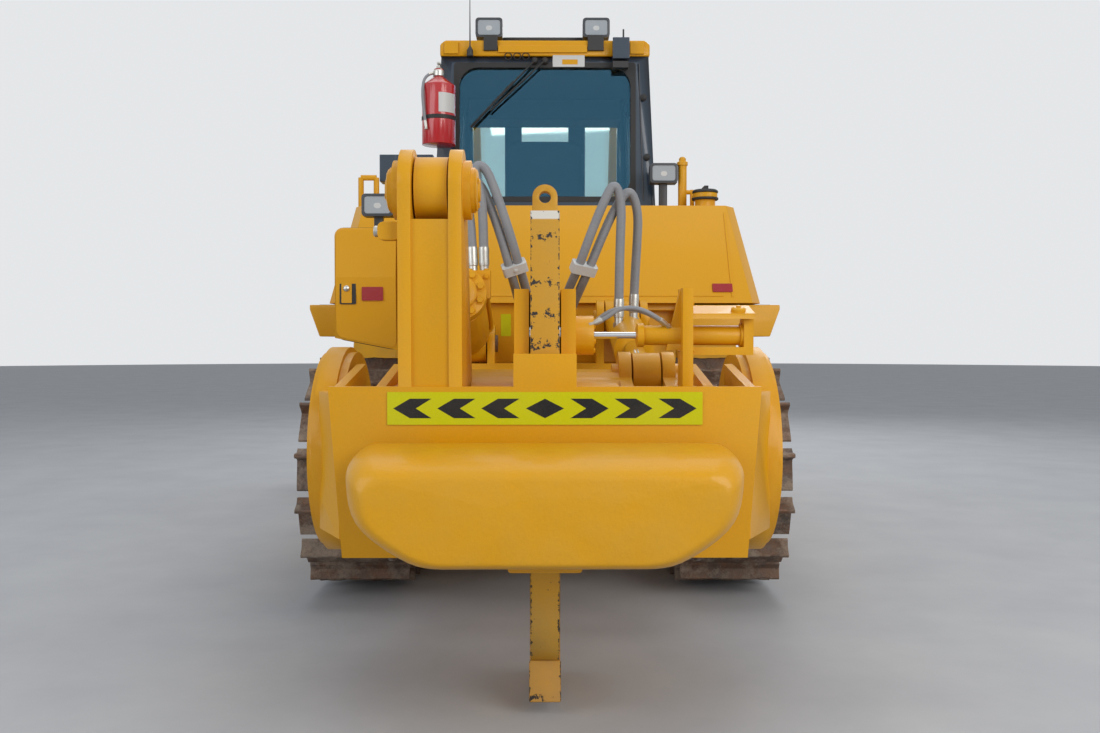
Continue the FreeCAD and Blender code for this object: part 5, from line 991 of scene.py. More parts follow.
@dataclass
class RipperDress:
    """Small pieces of the ripper that show in the photograph."""

    puller: Pair = (-2.15, 1.478)
    tilt_x: float = -0.418

    def build(self, shop: Workshop) -> None:
        """Puller's hoses and screws, and the tower's lug."""
        y, z = self.puller
        for i, lift in enumerate((0.0, 0.022)):
            route = [(0.186, y - 0.055 + lift, z + 0.045), (0.225, y - 0.055 + lift, z + 0.06 + lift),
                     (0.285, y - 0.06 + lift, z + 0.105), (0.36, y - 0.06 + lift, z + 0.103 - lift * 0.3),
                     (0.43, y - 0.05 + lift, z + 0.066), (0.462, y - 0.03 + lift, z + 0.042)]
            Hose(f"puller_hose_{i + 1}", route, 0.0085, ("ripper_beam", "ripper_beam"), guard=False).build(shop)
        cap = lathe([(0.028, 0.0), (0.028, 0.012), (0.022, 0.018), (0.0, 0.020)], 20)
        slope = np.array((0.0, -0.253, 0.967))
        lug = np.array([(0.5175, y - 0.06, h) for h in (1.33, 1.42, 1.60)])
        skins = [
            cap.moved(frames_at((0.735, y - 0.045, z + 0.0895), slope)),
            bolt(0.018, False).moved(frames_at((0.735, y - 0.050, z + 0.1075), slope)),
            bolt(0.020).moved(frames_at(lug + (0.0405, 0, 0), (1, 0, 0))),
            bolt(0.022).moved(ring_of((0.1853, y, z), (1, 0, 0), 0.058, 6, 0.4)),
            lathe([(0.0392, -0.014), (0.046, -0.012), (0.046, 0.012), (0.0392, 0.014)], 30).moved(
                frames_at(((0.366, y, z), (0.760, y, z)), (1, 0, 0))),
        ]
        shop.add("puller_screws", skins, PAINT, "ripper_beam", "yellow_paint", angle=30)
        self.tower_lug(shop)
        self.port(shop)

    def tower_lug(self, shop: Workshop) -> None:
        """The small lug on the left of the tower, with a grey pin through it."""
        z = 1.860
        body = rear_prism(rounded(0.084, 0.068, 0.022, 4) + (-0.573, z), -2.332, -2.286)
        shop.add("tower_lug", [body], PAINT, "ripper_beam", "yellow_paint", bevel=0.003)
        pin = lathe([(0.0, 0.020), (0.017, 0.020), (0.021, 0.015), (0.021, -0.015)][::-1], 20)
        pin = pin.moved(frames_at((-0.610, -2.309, z), (-1, 0, 0)))
        shop.add("tower_lug_pin", [pin], ZINC, "ripper_beam")

    def port(self, shop: Workshop) -> None:
        """Cap screws on the tilt barrel's port block and the steel line down to the head end."""
        head = shop.pivot("tilt_barrel_swing")
        ahead = np.array(shop.joints["tilt_rod_stroke"]["axis"], float)
        port = head + ahead * 0.73
        top = port + (self.tilt_x + 0.09 - head[0], 0, 0.1523)
        screws = [(self.tilt_x + 0.09 + dx, port[1] + dy, top[2]) for dx in (-0.042, 0.042) for dy in (-0.030, 0.030)]
        face = [(self.tilt_x + 0.09 + dx, port[1] - 0.0453, port[2] + 0.085 + dz)
                for dx, dz in ((-0.04, 0.04), (0.042, 0.036), (0.0, -0.02))]
        skins = [bolt(0.024).moved(frames_at(screws, (0, 0, 1))),
                 bolt(0.026).moved(frames_at(face, (0, -1, 0)))]
        shop.add("tilt_port_screws", skins, PAINT, "tilt_barrel", "yellow_paint", angle=30)
        beside = np.array((self.tilt_x + 0.128, 0, 0))
        run = [head + ahead * far + beside + (0, 0, rise) for far, rise in
               ((0.70, 0.075), (0.60, 0.060), (0.40, 0.045), (0.24, 0.040), (0.20, 0.010))]
        run.append(head + ahead * 0.20 + (self.tilt_x + 0.080 - head[0], 0, 0.0))
        shop.add("tilt_line", [pipe([tuple(p) for p in run], 0.012)], PAINT, "tilt_barrel", "yellow_paint")


@dataclass
class TankDress:
    """Reflectors, cap, seams and labels on the rear body."""

    rear: Pair = (-0.20, 0.15)
    height: Pair = (1.67, 2.27)
    filler: Pair = (0.985, 0.290)
    box_rear: float = -0.4583
    box_x: Pair = (-1.145, -0.800)
    box_z: Pair = (1.405, 2.07)
    box_slope: float = 0.066
    crease: float = 1.80

    def lean(self, x: float, z: float) -> Array:
        """A frame on the tank's leaning rear face, with X across and Z out of the face."""
        share = (z - self.height[0]) / (self.height[1] - self.height[0])
        run = self.rear[1] - self.rear[0], self.height[1] - self.height[0]
        up = np.array((0.0, run[0], run[1])) / math.hypot(*run)
        out = np.array((0.0, -up[2], up[1]))
        frame = np.eye(4)
        frame[:3, 0], frame[:3, 1], frame[:3, 2] = (1, 0, 0), up, out
        frame[:3, 3] = (x, self.rear[0] + share * run[0], z)
        return frame

    def build(self, shop: Workshop) -> None:
        """Makes the pieces on the tank, the locker and the deck."""
        for node in ("fuel_tank", "fenders", "deck", "rear_box", "rear_box_door", "tank_rails"):
            shop.dress(node, PAINT, 0.005)
        plate = prism(rounded(0.115, 0.056, 0.004, 3), 0.0003, 0.006)
        shop.add("tank_reflector", [plate.moved(self.lean(1.02, 1.758))], REFLECTOR)
        shop.add("locker_reflector", [rear_prism(rounded(0.115, 0.074, 0.004, 3) + (-0.936, 1.711),
                                                 self.box_rear - 0.026, self.box_rear - 0.016)], REFLECTOR,
                 "rear_box_door")
        label = rear_prism(rounded(0.058, 0.127, 0.004, 3) + (-0.225, 1.546), -0.1415, -0.1398)
        shop.add("tank_label", [label], LIME)
        seam = []
        for x in (-1.02, 1.075):
            strip = prism(rounded(0.012, 0.60, 0.005, 3), -0.002, 0.004)
            seam.append(strip.moved(self.lean(x, 1.965)))
        seam.append(prism(rounded(2.05, 0.012, 0.005, 3), -0.002, 0.004).moved(self.lean(0.0, 1.715)))
        shop.add("tank_weld_seams", seam, PAINT, slot="yellow_paint")
        x, y = self.filler
        top = self.height[1]
        cap = lathe([(0.076, 0.048), (0.081, 0.052), (0.081, 0.062), (0.0752, 0.064)], 36)
        grip = lathe([(0.0745, 0.0915), (0.079, 0.094), (0.079, 0.104), (0.070, 0.112), (0.0, 0.114)], 36)
        ridge = block((-0.012, -0.055, 0.112), (0.012, 0.055, 0.132))
        at = frames_at((x, y, top), (0, 0, 1))
        shop.add("filler_cap", [cap.moved(at), grip.moved(at), ridge.moved(at)], RUBBER_AND_SHADE, slot="yellow_paint")
        self.locker(shop)
        self.fender_pads(shop)

    def locker_edge(self, grow: float, radius: float) -> Array:
        """The locker's outline (x, z): a rounded rectangle whose foot rises towards the outer side."""
        (x0, x1), (z0, z1) = self.box_x, self.box_z
        edge = rounded(x1 - x0 + grow, z1 - z0 + grow, radius, 6) + ((x0 + x1) / 2, (z0 + z1) / 2)
        low = edge[:, 1] < (z0 + z1) / 2
        edge[low, 1] += self.box_slope * (x1 - edge[low, 0]) / (x1 - x0)
        return edge

    def locker(self, shop: Workshop) -> None:
        """The door's creased skin, the dark seal round the door and its latch, set on a black sheet of painted shade
        for its recess.
        """
        outer, inner = self.locker_edge(0.008, 0.047), self.locker_edge(-0.030, 0.030)
        layers = [(outer, -0.4302), (outer, -0.4290), (inner, -0.4290), (inner, -0.4302), (outer, -0.4302)]
        stack = np.stack([np.stack((o[:, 0], np.full(len(o), y), o[:, 1]), -1) for o, y in layers])
        shop.add("locker_seal", [rings(stack, closed=False)], RUBBER_AND_SHADE)
        edge = self.locker_edge(-0.020, 0.036)
        skins = []
        for above in (True, False):
            half = edge.copy()
            half[:, 1] = np.maximum(half[:, 1], self.crease) if above else np.minimum(half[:, 1], self.crease)
            end = self.box_z[1] if above else self.box_z[0]
            bulge = 0.001 + 0.023 * (1 - np.abs(half[:, 1] - self.crease) / abs(end - self.crease))
            back = np.stack((half[:, 0], np.full(len(half), self.box_rear - 0.0002), half[:, 1]), -1)
            front = np.stack((half[:, 0], self.box_rear - bulge, half[:, 1]), -1)
            skins.append(rings(np.stack((back, front))))
        shop.add("locker_door_skin", skins, PAINT, "rear_box_door", "yellow_paint", angle=2.0)
        x, z = self.box_x[0] + 0.075, self.box_z[0] + 0.3085
        face = self.box_rear - 0.021
        # Painted shade: a black sheet behind the latch plate stands for the shade inside its recess.
        recess_shade = rear_prism(rounded(0.088, 0.118, 0.006, 3) + (x, z), face - 0.001, face + 0.012)
        shop.add("locker_latch_painted_shade", [recess_shade], RUBBER_AND_SHADE, "rear_box_door")
        plate = rear_prism(rounded(0.056, 0.106, 0.004, 3) + (x - 0.006, z), face - 0.004, face + 0.002)
        shop.add("locker_latch_plate", [plate], PAINT, "rear_box_door", "yellow_paint")
        knob = lathe([(0.016, 0.0), (0.016, 0.006), (0.010, 0.011), (0.0, 0.012)], 18)
        shop.add("locker_latch", [knob.moved(frames_at((x - 0.006, face - 0.004, z + 0.026), (0, -1, 0)))],
                 ZINC, "rear_box_door")

    def fender_pads(self, shop: Workshop) -> None:
        """Anti-slip strips in rows on the fenders' tops."""
        rows = np.linspace(-0.12, 0.50, 8)
        pads = [block((0.80, y, 1.6602), (1.30, y + 0.045, 1.664)) for y in rows]
        pads += [block((0.86, y, 1.6602), (1.30, y + 0.045, 1.664)) for y in np.linspace(0.62, 2.18, 18)]
        shop.add("fender_grip_strips", [mirrored(joined(pads))], PLASTIC)
        edge = np.stack((np.full(12, 1.3278), np.linspace(-0.1, 2.2, 12), np.full(12, 1.60)), -1)
        heads = mirrored(bolt(0.022).moved(frames_at(edge, (1, 0, 0))))
        shop.add("fender_bolts", [heads], PAINT, slot="yellow_paint")


@dataclass
class LampDress:
    """Lenses and bezels of the work lamps, the rear sensor box and the column's cap."""

    size: Pair = (0.170, 0.120)
    rear_facing: tuple[Point, ...] = (
        (-0.360, 0.620, 3.4703), (0.330, 0.620, 3.4703), (0.745, 0.410, 2.5053), (-0.925, -0.370, 2.2053),
    )
    column_top: float = 2.5555
    front_facing: tuple[Point, ...] = ((-0.480, 2.100, 3.4703), (0.480, 2.100, 3.4703))

    def build(self, shop: Workshop) -> None:
        """A bezel ring, a lens and a painted highlight on each lamp's face: a white patch for the bulb's glint."""
        shop.dress("work_lamps", HOUSING, 0.008)
        width, height = self.size
        lenses, bezels, spots = [], [], []
        for places, way in ((self.rear_facing, -1), (self.front_facing, 1)):
            for x, y, z in places:
                outline = rounded(width - 0.026, height - 0.026, 0.014, 4) + (x, z)
                y0, y1 = sorted((y - way * 0.002, y + way * 0.004))
                lenses.append(rear_prism(outline, y0, y1))
                # Painted highlight: a flat white patch on the lens face stands for the bulb's glint.
                spots.append(rear_prism(rounded(0.040, 0.030, 0.014, 5) + (x, z - 0.004), *sorted(
                    (y + way * 0.0042, y + way * 0.0046))))
                outer = rounded(width + 0.004, height + 0.004, 0.020, 4) + (x, z)
                inner = rounded(width - 0.024, height - 0.024, 0.014, 4) + (x, z)
                depths = (y - way * 0.020, y + way * 0.006, y + way * 0.008, y + way * 0.003)
                rim = (outer, outer, inner, inner)
                stack = np.stack([np.stack((o[:, 0], np.full(len(o), d), o[:, 1]), -1) for o, d in zip(rim, depths)])
                skin = rings(stack, closed=False)
                bezels.append(skin if way < 0 else Skin(skin.points, [f[:, ::-1] for f in skin.faces]))
        shop.add("lamp_lenses", lenses, LENS, slot="lamp_black")
        # The painted glints use the white label film.
        shop.add("lamp_painted_glints", spots, WHITE_LABEL_AND_GLINT, slot="lamp_black")
        shop.add("lamp_bezels", bezels, HOUSING, slot="lamp_black")
        case = [block((-1.034, 0.405, 2.450), (-0.930, 0.530, 2.619)),
                block((-0.935, 0.405, 2.470), (-0.700, 0.530, 2.619)),
                block((-0.790, 0.520, 2.50), (-0.700, 0.640, 2.600))]
        shop.add("rear_sensor_box", case, CAB_PAINT, slot="lamp_black", bevel=0.004)
        column = lathe([(0.0272, 0.0), (0.034, 0.002), (0.034, 0.022), (0.022, 0.030), (0.022, 0.045), (0.012, 0.055),
                        (0.0, 0.057)], 20)
        shop.add("rail_column_cap", [column.moved(frames_at((0.865, 0.445, self.column_top), (0, 0, 1)))],
                 PAINT, slot="yellow_paint")


@dataclass
class CabDress:
    """Window mask, seals, wipers, liner, trims, labels, aerials, sender box and hatch lid."""

    wall_y: Pair = (0.575, 0.600)
    height: Pair = (1.67, 3.28)
    window_half: float = 0.568
    window_z: Pair = (2.364, 3.226)

    def rear_y(self, z: Array | float) -> Array | float:
        """The rear wall's y at a height."""
        share = (np.asarray(z) - self.height[0]) / (self.height[1] - self.height[0])
        low, high = self.wall_y
        return low + (high - low) * share

    def on_wall(self, outline: Array, out: float) -> Array:
        """Points of an outline (x, z) set off the rear wall by a distance."""
        return np.stack((outline[:, 0], self.rear_y(outline[:, 1]) - out, outline[:, 1]), -1)

    def build(self, shop: Workshop) -> None:
        """Makes the cab's pieces."""
        for node in ("cab_shell", "cab_door_left", "cab_door_right"):
            shop.dress(node, CAB_PAINT, 0.004)
        shop.dress("cab_roof", PAINT, 0.010)
        for node in ("cab_glass", "door_glass_left", "door_glass_right"):
            shop.dress(node, GLASS)
        z0, z1 = self.window_z
        middle = (0.0, (z0 + z1) / 2)
        half, tall = self.window_half, z1 - z0
        outer = rounded(2 * half + 0.030, tall + 0.030, 0.020, 8) + middle
        inner = rounded(2 * half - 0.036, tall - 0.036, 0.120, 8) + middle
        layers = [(outer, 0.0002), (outer, 0.004), (inner, 0.004), (inner, -0.022)]
        stack = np.stack([self.on_wall(o, d) for o, d in layers])
        shop.add("rear_window_mask", [rings(stack, closed=False)], RUBBER_AND_SHADE, slot="cab_paint")
        self.wipers(shop)
        self.liner(shop)
        self.roof_top(shop)

    def wipers(self, shop: Workshop) -> None:
        """Two parallel arms from their spindles over the window to one blade."""
        def at(x: float, z: float, out: float) -> Point:
            return (x, float(self.rear_y(z)) - out, z)
        spindle = lathe([(0.022, 0.0), (0.022, 0.018), (0.013, 0.030), (0.0, 0.032)], 18)
        skins = [spindle.moved(frames_at(at(x, 3.248, 0.004), (0, -1, 0))) for x in (-0.065, 0.0)]
        for x, far in ((-0.065, (-0.395, 2.905)), (0.0, (-0.350, 2.925))):
            skins.append(tube(np.array([at(x, 3.248, 0.026), at(*far, 0.028)]), 0.0065, 8))
        blade = [at(-0.475, 2.820, 0.024), at(-0.395, 2.905, 0.030), at(-0.200, 3.112, 0.024)]
        skins.append(tube(np.array(blade), 0.009, 8))
        shop.add("rear_wiper", skins, RUBBER_AND_SHADE, slot="cab_paint")

    def liner(self, shop: Workshop) -> None:
        """Dark head liner, roof console and front pillar trims inside the cab, and a floor mat."""
        skins = [block((-0.600, 0.67, 3.236), (0.600, 1.98, 3.262)),
                 block((-0.60, 0.70, 1.6902), (0.60, 2.00, 1.700)),
                 block((-0.560, 1.62, 3.090), (0.560, 1.93, 3.237))]
        for side in (-1, 1):
            x0, x1 = sorted((side * 0.18, side * 0.31))
            skins.append(side_prism([(2.085, 1.72), (2.125, 1.72), (1.985, 3.236), (1.945, 3.236)], x0, x1))
        shop.add("cab_liner", skins, DASH, slot="dash_plastic", bevel=0.006)

    def roof_top(self, shop: Workshop) -> None:
        """Hatch lid, aerials, sender box, label, cable rings, pillar knobs and the band's corner blocks."""
        lid = prism(rounded(0.62, 0.92, 0.06, 5) + (0.0, 1.216), 3.4255, 3.448)
        shop.add("roof_hatch_lid", [lid], PLASTIC, slot="yellow_paint", bevel=0.006)
        base = lathe([(0.020, 0.0), (0.020, 0.03), (0.008, 0.05), (0.0045, 0.06), (0.0025, 0.355), (0.0, 0.357)], 12)
        stub = lathe([(0.006, 0.0), (0.006, 0.06), (0.0, 0.062)], 10)
        skins = [base.moved(frames_at((-0.478, 0.556, 3.278), (0, 0, 1))),
                 block((-0.498, 0.536, 3.268), (-0.458, 0.594, 3.279)),
                 stub.moved(frames_at((0.500, 0.550, 3.379), (0, 0, 1))),
                 block((0.430, 0.520, 3.190), (0.530, 0.580, 3.232)),
                 block((0.440, 0.560, 3.200), (0.520, 0.605, 3.225))]
        shop.add("roof_aerials", skins, PLASTIC, slot="lamp_black", bevel=0.002)
        sender = block((0.430, 0.512, 3.245), (0.537, 0.5795, 3.380))
        shop.add("roof_sender_box", [sender], CAB_PAINT, slot="lamp_black", bevel=0.004)
        blocks = []
        for x in (-0.600, 0.590):
            blocks.append(block((x - 0.045, 0.5785, 3.292), (x + 0.045, 0.5922, 3.368)))
        blocks.append(block((-0.30, 0.5785, 3.300), (0.27, 0.5922, 3.345)))
        shop.add("roof_band_blocks", blocks, PAINT, slot="yellow_paint", bevel=0.003)
        feet = [block((x0, 0.574, 3.312), (x1, 0.5925, 3.4115)) for x0, x1 in ((-0.392, -0.304), (0.274, 0.376))]
        shop.add("roof_lamp_feet", feet, PLASTIC, slot="lamp_black", bevel=0.003)
        label = rear_prism(rounded(0.205, 0.074, 0.004, 3) + (0.152, 3.249), 0.5915, 0.5955)
        shop.add("window_label", [label], WHITE_LABEL_AND_GLINT)
        amber = rear_prism(rounded(0.100, 0.032, 0.003, 3) + (0.160, 3.243), 0.5908, 0.5920)
        shop.add("window_label_field", [amber], PAINT)
        turn = np.linspace(0, 2 * math.pi, 15)[:-1]
        coils = []
        for x in (-0.235, -0.178, -0.122):
            ring = np.stack((x + 0.022 * np.cos(turn), np.full(14, 0.584), 3.278 + 0.022 * np.sin(turn)), -1)
            coils.append(tube(np.concatenate((ring, ring[:1])), 0.003, 6))
        shop.add("cable_rings", coils, RUBBER_AND_SHADE, slot="lamp_black")
        knob = lathe([(0.022, 0.0), (0.022, 0.012), (0.014, 0.018), (0.0, 0.019)], 18)
        skins = [knob.moved(frames_at((x, float(self.rear_y(z)) - 0.0002, z), (0, -1, 0)))
                 for x, z in ((0.632, 3.016), (0.655, 2.634))]
        shop.add("pillar_knobs", skins, RUBBER_AND_SHADE, slot="cab_paint")
        corner = ((0.604, 3.235), (0.618, 2.80), (0.632, 2.36))
        strip = np.array([(x, float(self.rear_y(z)) - 0.004, z) for x, z in corner])
        shop.add("pillar_strip", [tube(strip, 0.004, 8)], HOUSING, slot="cab_paint")


@dataclass
class SeatDress:
    """Driver's seat with sewn cushions in place of its plain boxes."""

    floor: float = 1.6903

    def cushion(self, low: Point, high: Point, crown: float) -> Skin:
        """A superellipsoid in a box: each axis takes the sign and a small power of its cosine or sine."""
        u = np.linspace(-math.pi / 2, math.pi / 2, 17)[:, None]
        v = (np.arange(32) * 2 * math.pi / 32)[None]

        def soft(value: Array) -> Array:
            return np.sign(value) * np.abs(value) ** crown

        x = soft(np.cos(u)) * soft(np.cos(v))
        y = soft(np.cos(u)) * soft(np.sin(v))
        z = soft(np.sin(u)) * np.ones_like(v)
        low, high = np.array(low), np.array(high)
        points = np.stack((x, y, z), -1) * (high - low) / 2 + (low + high) / 2
        return rings(points[1:-1])

    def build(self, shop: Workshop) -> None:
        """Base, cushion, back and arm rests."""
        f = self.floor
        base = [block((-0.19, 1.09, f), (0.19, 1.44, f + 0.16)),
                block((-0.15, 1.12, f + 0.16), (0.15, 1.41, f + 0.30)),
                block((-0.23, 0.972, f + 0.38), (0.23, 1.02, f + 1.05))]
        base += [block((x - 0.02, 1.03, f + 0.34), (x + 0.02, 1.08, f + 0.50)) for x in (-0.28, 0.28)]
        shell = shop.add("seat_base", base, PLASTIC, slot="dash_plastic", bevel=0.008)
        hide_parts("operator_seat")
        seat = shop.add("seat_cushion", [self.cushion((-0.26, 1.03, f + 0.29), (0.26, 1.52, f + 0.44), 0.35)],
                        SEAT_CLOTH, slot="seat_fabric", angle=60)
        back = shop.add("seat_back", [self.cushion((-0.262, 0.965, f + 0.42), (0.262, 1.10, f + 1.12), 0.30),
                                      self.cushion((-0.15, 1.06, f + 0.86), (0.15, 1.135, f + 1.08), 0.4)],
                        SEAT_CLOTH, slot="seat_fabric", angle=60)
        arms = [self.cushion((x - 0.04, 1.05, f + 0.475), (x + 0.04, 1.42, f + 0.555), 0.3) for x in (-0.29, 0.29)]
        shop.add("seat_arm_rests", arms, PLASTIC, slot="dash_plastic", angle=60)


@dataclass
class ExtinguisherDress:
    """Valve, hose, strap and blank label of the fire extinguisher."""

    place: Point = (-0.667, 0.450, 2.684)
    radius: float = 0.105

    def build(self, shop: Workshop) -> None:
        """Makes the pieces round the bottle."""
        x, y, z = self.place
        r = self.radius
        shop.dress("fire_extinguisher", RED, 0.004)
        at = frames_at((x, y, z), (0, 0, 1))
        band = lathe([(r + 0.0002, 0.150), (r + 0.003, 0.152), (r + 0.003, 0.174), (r + 0.0002, 0.176)], 36).moved(at)
        shop.add("extinguisher_strap", [band], RUBBER_AND_SHADE)
        valve = [lathe([(0.0302, 0.425), (0.036, 0.43), (0.036, 0.46), (0.022, 0.48), (0.0, 0.482)], 20).moved(at),
                 block((x - 0.012, y - 0.03, z + 0.475), (x + 0.012, y + 0.09, z + 0.490)),
                 block((x - 0.010, y - 0.02, z + 0.505), (x + 0.010, y + 0.10, z + 0.517)),
                 block((x - 0.008, y + 0.0, z + 0.478), (x + 0.008, y + 0.02, z + 0.508))]
        shop.add("extinguisher_valve", valve, ZINC, bevel=0.002)
        turn = np.linspace(math.radians(275), math.radians(345), 12)
        ring = np.stack((x + (r + 0.0008) * np.cos(turn), y + (r + 0.0008) * np.sin(turn), np.zeros(12)), -1)
        label = np.stack([ring + (0, 0, z + 0.19), ring + (0, 0, z + 0.31)])
        shop.add("extinguisher_label", [Skin(label.reshape(-1, 3), [web(2, 12, False)])], WHITE_LABEL_AND_GLINT)
        route = [(x - 0.034, y - 0.01, z + 0.45), (x - 0.080, y - 0.04, z + 0.43), (x - 0.095, y - 0.075, z + 0.34),
                 (x - 0.088, y - 0.085, z + 0.22), (x - 0.070, y - 0.098, z + 0.10)]
        Hose("extinguisher_hose", route, 0.009, ("tractor", "tractor"), guard=False).build(shop)


@dataclass
class FrontDress:
    """Hood louvres and catches, stack bands, blade bolts and the blade's wing corners."""

    hood_half: float = 0.430
    door_y: Pair = (2.330, 3.130)
    door_z: Pair = (1.310, 1.680)
    stack: Pair = (0.0, 2.700)
    blade_front: float = 4.900
    blade_z: Pair = (0.008, 1.800)
    blade_hollow: float = 0.230
    centre_half: float = 1.500
    wing_turn: float = 27.0

    def build(self, shop: Workshop) -> None:
        """Finishes the front's nodes and adds its pieces."""
        for node in ("hood", "engine_door_left", "engine_door_right", "blade", "push_arms", "blade_lift_barrels"):
            shop.dress(node, OLD_PAINT if node in ("blade", "push_arms") else PAINT, 0.005)
        shop.dress("grille", GRILLE_BLACK, 0.004)
        shop.dress("exhaust_stack", EXHAUST)
        shop.dress("engine_block", ENGINE_IRON)
        shop.dress("cutting_edge", RUBBED_STEEL, 0.003)
        shop.dress("control_console", DASH, 0.012)
        shop.dress("blade_lift_rods", CHROME, painted=(PAINT, (4.49, 0.52), 0.086))
        self.louvres(shop)
        self.stack_bands(shop)
        self.edge_bolts(shop)
        self.wing_corners(shop)

    def louvres(self, shop: Workshop) -> None:
        """Pressed louvres on each engine door, with a catch."""
        y0, y1 = self.door_y
        low, high = self.door_z
        rows = np.linspace(low + 0.06, high - 0.06, 7)
        face = self.hood_half
        for side, label in ((-1, "left"), (1, "right")):
            skins = []
            for z in rows:
                outline = np.array(((0.0, z), (0.016, z - 0.004), (0.017, z), (0.0, z + 0.026)))
                points = np.zeros((2, 4, 3))
                points[..., 0] = side * (face - 0.0005 + outline[:, 0])
                points[..., 1] = np.array((y0 + 0.14, y1 - 0.20))[:, None]
                points[..., 2] = outline[:, 1]
                skin = rings(points)
                skins.append(skin if side < 0 else Skin(skin.points, [f[:, ::-1] for f in skin.faces]))
            shop.add(f"engine_door_louvres_{label}", skins, PAINT, f"engine_door_{label}", "yellow_paint", angle=20)
            catch = [block((min(side * face, side * (face + 0.022)), y1 - 0.11, 1.46),
                           (max(side * face, side * (face + 0.022)), y1 - 0.05, 1.53))]
            shop.add(f"engine_door_catch_{label}", catch, PLASTIC, f"engine_door_{label}", "", bevel=0.004)

    def stack_bands(self, shop: Workshop) -> None:
        """Clamp bands round the silencer and the stack."""
        x, y = self.stack
        at = frames_at((x, y, 0.0), (0, 0, 1))
        drum = [lathe([(0.1503, z), (0.156, z + 0.003), (0.156, z + 0.033), (0.1503, z + 0.036)], 40).moved(at)
                for z in (2.30, 2.52)]
        pipe_band = lathe([(0.0753, 2.76), (0.082, 2.763), (0.082, 2.79), (0.0753, 2.793)], 32).moved(at)
        shop.add("stack_bands", drum + [pipe_band], ZINC, slot="exhaust_black")

    def wing_corners(self, shop: Workshop) -> None:
        """A welded strip in each corner where a wing turns away: it joins the middle's end to the wing's start."""
        (low, high), y, half = self.blade_z, self.blade_front, self.centre_half
        arc = np.array(((y, low), (y - self.blade_hollow, (low + high) / 2 + 0.08), (y + 0.03, high)))
        squares = (arc ** 2).sum(1)
        centre = np.linalg.solve(2 * (arc[1:] - arc[0]), squares[1:] - squares[0])
        height = np.linspace(low + 0.05, high - 0.05, 60)
        reach = np.sqrt(((arc[0] - centre) ** 2).sum() - (height - centre[1]) ** 2)
        turn = math.radians(self.wing_turn)
        rails = []
        for skin, proud in ((0.034, -0.0015), (0.0, 0.0015)):
            depth = centre[0] - reach - skin - y
            wing_x = half - 0.06 * math.cos(turn) - depth * math.sin(turn) + 0.004
            wing_y = y - 0.06 * math.sin(turn) + depth * math.cos(turn) + proud
            rails.append((np.full(len(height), half - 0.004), y + depth + proud))
            rails.append((np.maximum(wing_x, half + 0.002), wing_y))
        order = (rails[0], rails[1], rails[3], rails[2])
        stack = np.stack([np.stack((x, back, height), -1) for x, back in order], 1)
        open_rows = rails[1][0] > half + 0.004
        shop.add("blade_wing_corners", [mirrored(rings(stack[open_rows]))], OLD_PAINT, "blade_frame", "yellow_paint",
                 angle=30)

    def edge_bolts(self, shop: Workshop) -> None:
        """Plough bolts along the cutting edge; on each wing the row turns with it."""
        reach = 0.0306
        x = np.linspace(-1.44, 1.44, 19)
        rows = [np.stack((x, np.full(19, self.blade_front - self.drop(z) + reach), np.full(19, z)), -1)
                for z in (0.075, 0.165)]
        head = lathe([(0.021, 0.0), (0.019, 0.006), (0.008, 0.008), (0.0, 0.006)], 14)
        skins = [head.moved(frames_at(np.concatenate(rows), (0, 1, -0.1)))]
        turn = math.radians(self.wing_turn)
        along = np.array((math.cos(turn), math.sin(turn), 0.0))
        out = np.array((-math.sin(turn), math.cos(turn), -0.1))
        start = np.array((self.centre_half, self.blade_front, 0.0))
        wing = [start + along * far + out * (reach - self.drop(z)) + (0, 0, z) for far in (0.10, 0.24, 0.38, 0.52)
                for z in (0.075, 0.165)]
        skins.append(mirrored(head.moved(frames_at(wing, out))))
        shop.add("edge_bolts", skins, RUBBED_STEEL, "blade_frame", "worn_steel")

    def drop(self, z: float) -> float:
        """How far the blade's skin lies behind its lower edge at a height: an arc through three points."""
        low, high = self.blade_z
        middle = (low + high) / 2 + 0.08
        a, b, c = np.array((0.0, low)), np.array((-self.blade_hollow, middle)), np.array((0.03, high))
        m = np.array((b - a, c - a)) * 2
        right = np.array((b @ b - a @ a, c @ c - a @ a))
        centre = np.linalg.solve(m, right)
        radius = float(np.linalg.norm(a - centre))
        return -(centre[0] - math.sqrt(radius ** 2 - (z - centre[1]) ** 2))


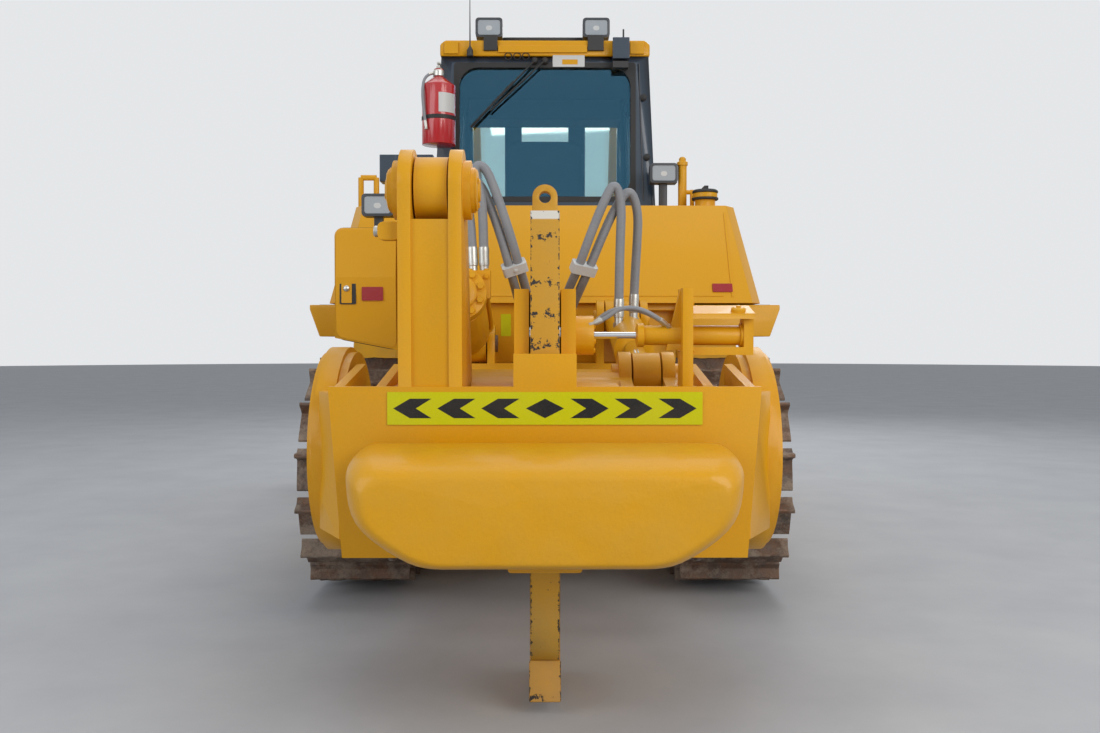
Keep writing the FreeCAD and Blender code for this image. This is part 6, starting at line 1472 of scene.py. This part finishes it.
class Stage:
    """Floor, lights and camera."""

    focal_px: float = 1050.0
    image: tuple[int, int] = (1100, 733)
    axis_px: float = 545.0
    horizon_px: float = 340.0
    eye_height: float = 1.46
    eye_back: float = 6.19

    def build(self, shop: Workshop) -> None:
        """Sets the camera where the photograph was taken, a pale floor and soft lamps."""
        scene = bpy.context.scene
        scene.view_settings.view_transform = "Standard"
        data = bpy.data.cameras.new("camera")
        data.sensor_width = 36.0
        data.lens = self.focal_px / self.image[0] * data.sensor_width
        camera = bpy.data.objects.new("camera", data)
        camera.location = (0.0, shop.origin - self.eye_back, self.eye_height)
        down = math.atan((self.image[1] / 2 - self.horizon_px) / self.focal_px)
        aside = math.atan((self.image[0] / 2 - self.axis_px) / self.focal_px)
        camera.rotation_euler = (math.pi / 2 - down, 0.0, -aside)
        scene.collection.objects.link(camera)
        scene.camera = camera
        self.floor()
        self.world(scene)
        lamps = (
            # name, place, size, watts, colour
            ("sky_key", (6.0, -10.0, 5.5), 6.0, 520.0, (1.0, 0.97, 0.93)),
            ("sky_fill", (-8.0, -9.0, 4.5), 7.0, 330.0, (0.93, 0.96, 1.0)),
            ("sky_front", (2.0, 9.0, 8.0), 7.0, 380.0, (1.0, 1.0, 1.0)),
            ("sky_top", (0.0, 0.0, 11.0), 9.0, 260.0, (0.97, 0.98, 1.0)),
        )
        for name, place, size, watts, colour in lamps:
            lamp = bpy.data.lights.new(name, "AREA")
            lamp.size, lamp.energy, lamp.color = size, watts, colour
            holder = bpy.data.objects.new(name, lamp)
            aim = np.array((0.0, 0.0, 1.2)) - place
            holder.location = place
            tilt, turn = math.atan2(math.hypot(aim[0], aim[1]), -aim[2]), math.atan2(aim[0], -aim[1]) + math.pi
            holder.rotation_euler = (tilt, 0.0, turn)
            scene.collection.objects.link(holder)

    def floor(self) -> None:
        """A wide pale disc under the machine."""
        mesh = bpy.data.meshes.new("floor")
        turn = np.linspace(0, 2 * math.pi, 97)[:-1]
        ring = np.stack((np.cos(turn) * 60, np.sin(turn) * 60, np.full(96, -0.001)), -1)
        mesh.from_pydata(ring.tolist(), [], [tuple(range(96))])
        made = bpy.data.materials.new("floor")
        made.use_nodes = True
        wire = Wiring(made.node_tree)
        place = wire.place()
        tone = wire.mix(wire.reach(wire.noise(place, 1.5, 6.0, 0.6), 0.3, 0.7), (0.44, 0.45, 0.47, 1),
                        (0.50, 0.51, 0.52, 1))
        wire.feed(made.node_tree.nodes["Principled BSDF"].inputs["Base Color"], tone)
        wire.feed(made.node_tree.nodes["Principled BSDF"].inputs["Roughness"], 0.85)
        mesh.materials.append(made)
        floor = bpy.data.objects.new("floor", mesh)
        bpy.context.scene.collection.objects.link(floor)

    def world(self, scene: bpy.types.Scene) -> None:
        """A soft grey-white sky, paler to the camera and in reflections."""
        world = bpy.data.worlds.new("sky")
        scene.world = world
        world.use_nodes = True
        wire = Wiring(world.node_tree)
        background = world.node_tree.nodes["Background"]
        rays = wire.node("ShaderNodeLightPath")
        seen = wire.sum_up("MAXIMUM", rays.outputs["Is Camera Ray"], wire.sum_up(
            "MAXIMUM", rays.outputs["Is Glossy Ray"], rays.outputs["Is Transmission Ray"]))
        wire.feed(background.inputs["Color"], wire.mix(seen, (0.88, 0.93, 1.0, 1), (0.95, 0.97, 0.99, 1)))
        wire.feed(background.inputs["Strength"], wire.sum_up("MULTIPLY_ADD", seen, 0.42, 0.40))


def main() -> None:
    """Builds the classes in order."""
    logging.basicConfig(level=logging.INFO, format="%(name)s %(message)s")
    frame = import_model()
    shop = Workshop(frame)
    Stage().build(shop)
    for part in (Tracks(), Undercarriage(), PushBlock(), Chevrons(), Ripper(), RipperDress(), Hydraulics(),
                 TankDress(), LampDress(), CabDress(), SeatDress(), ExtinguisherDress(), FrontDress()):
        part.build(shop)


if __name__ == "__main__":
    main()
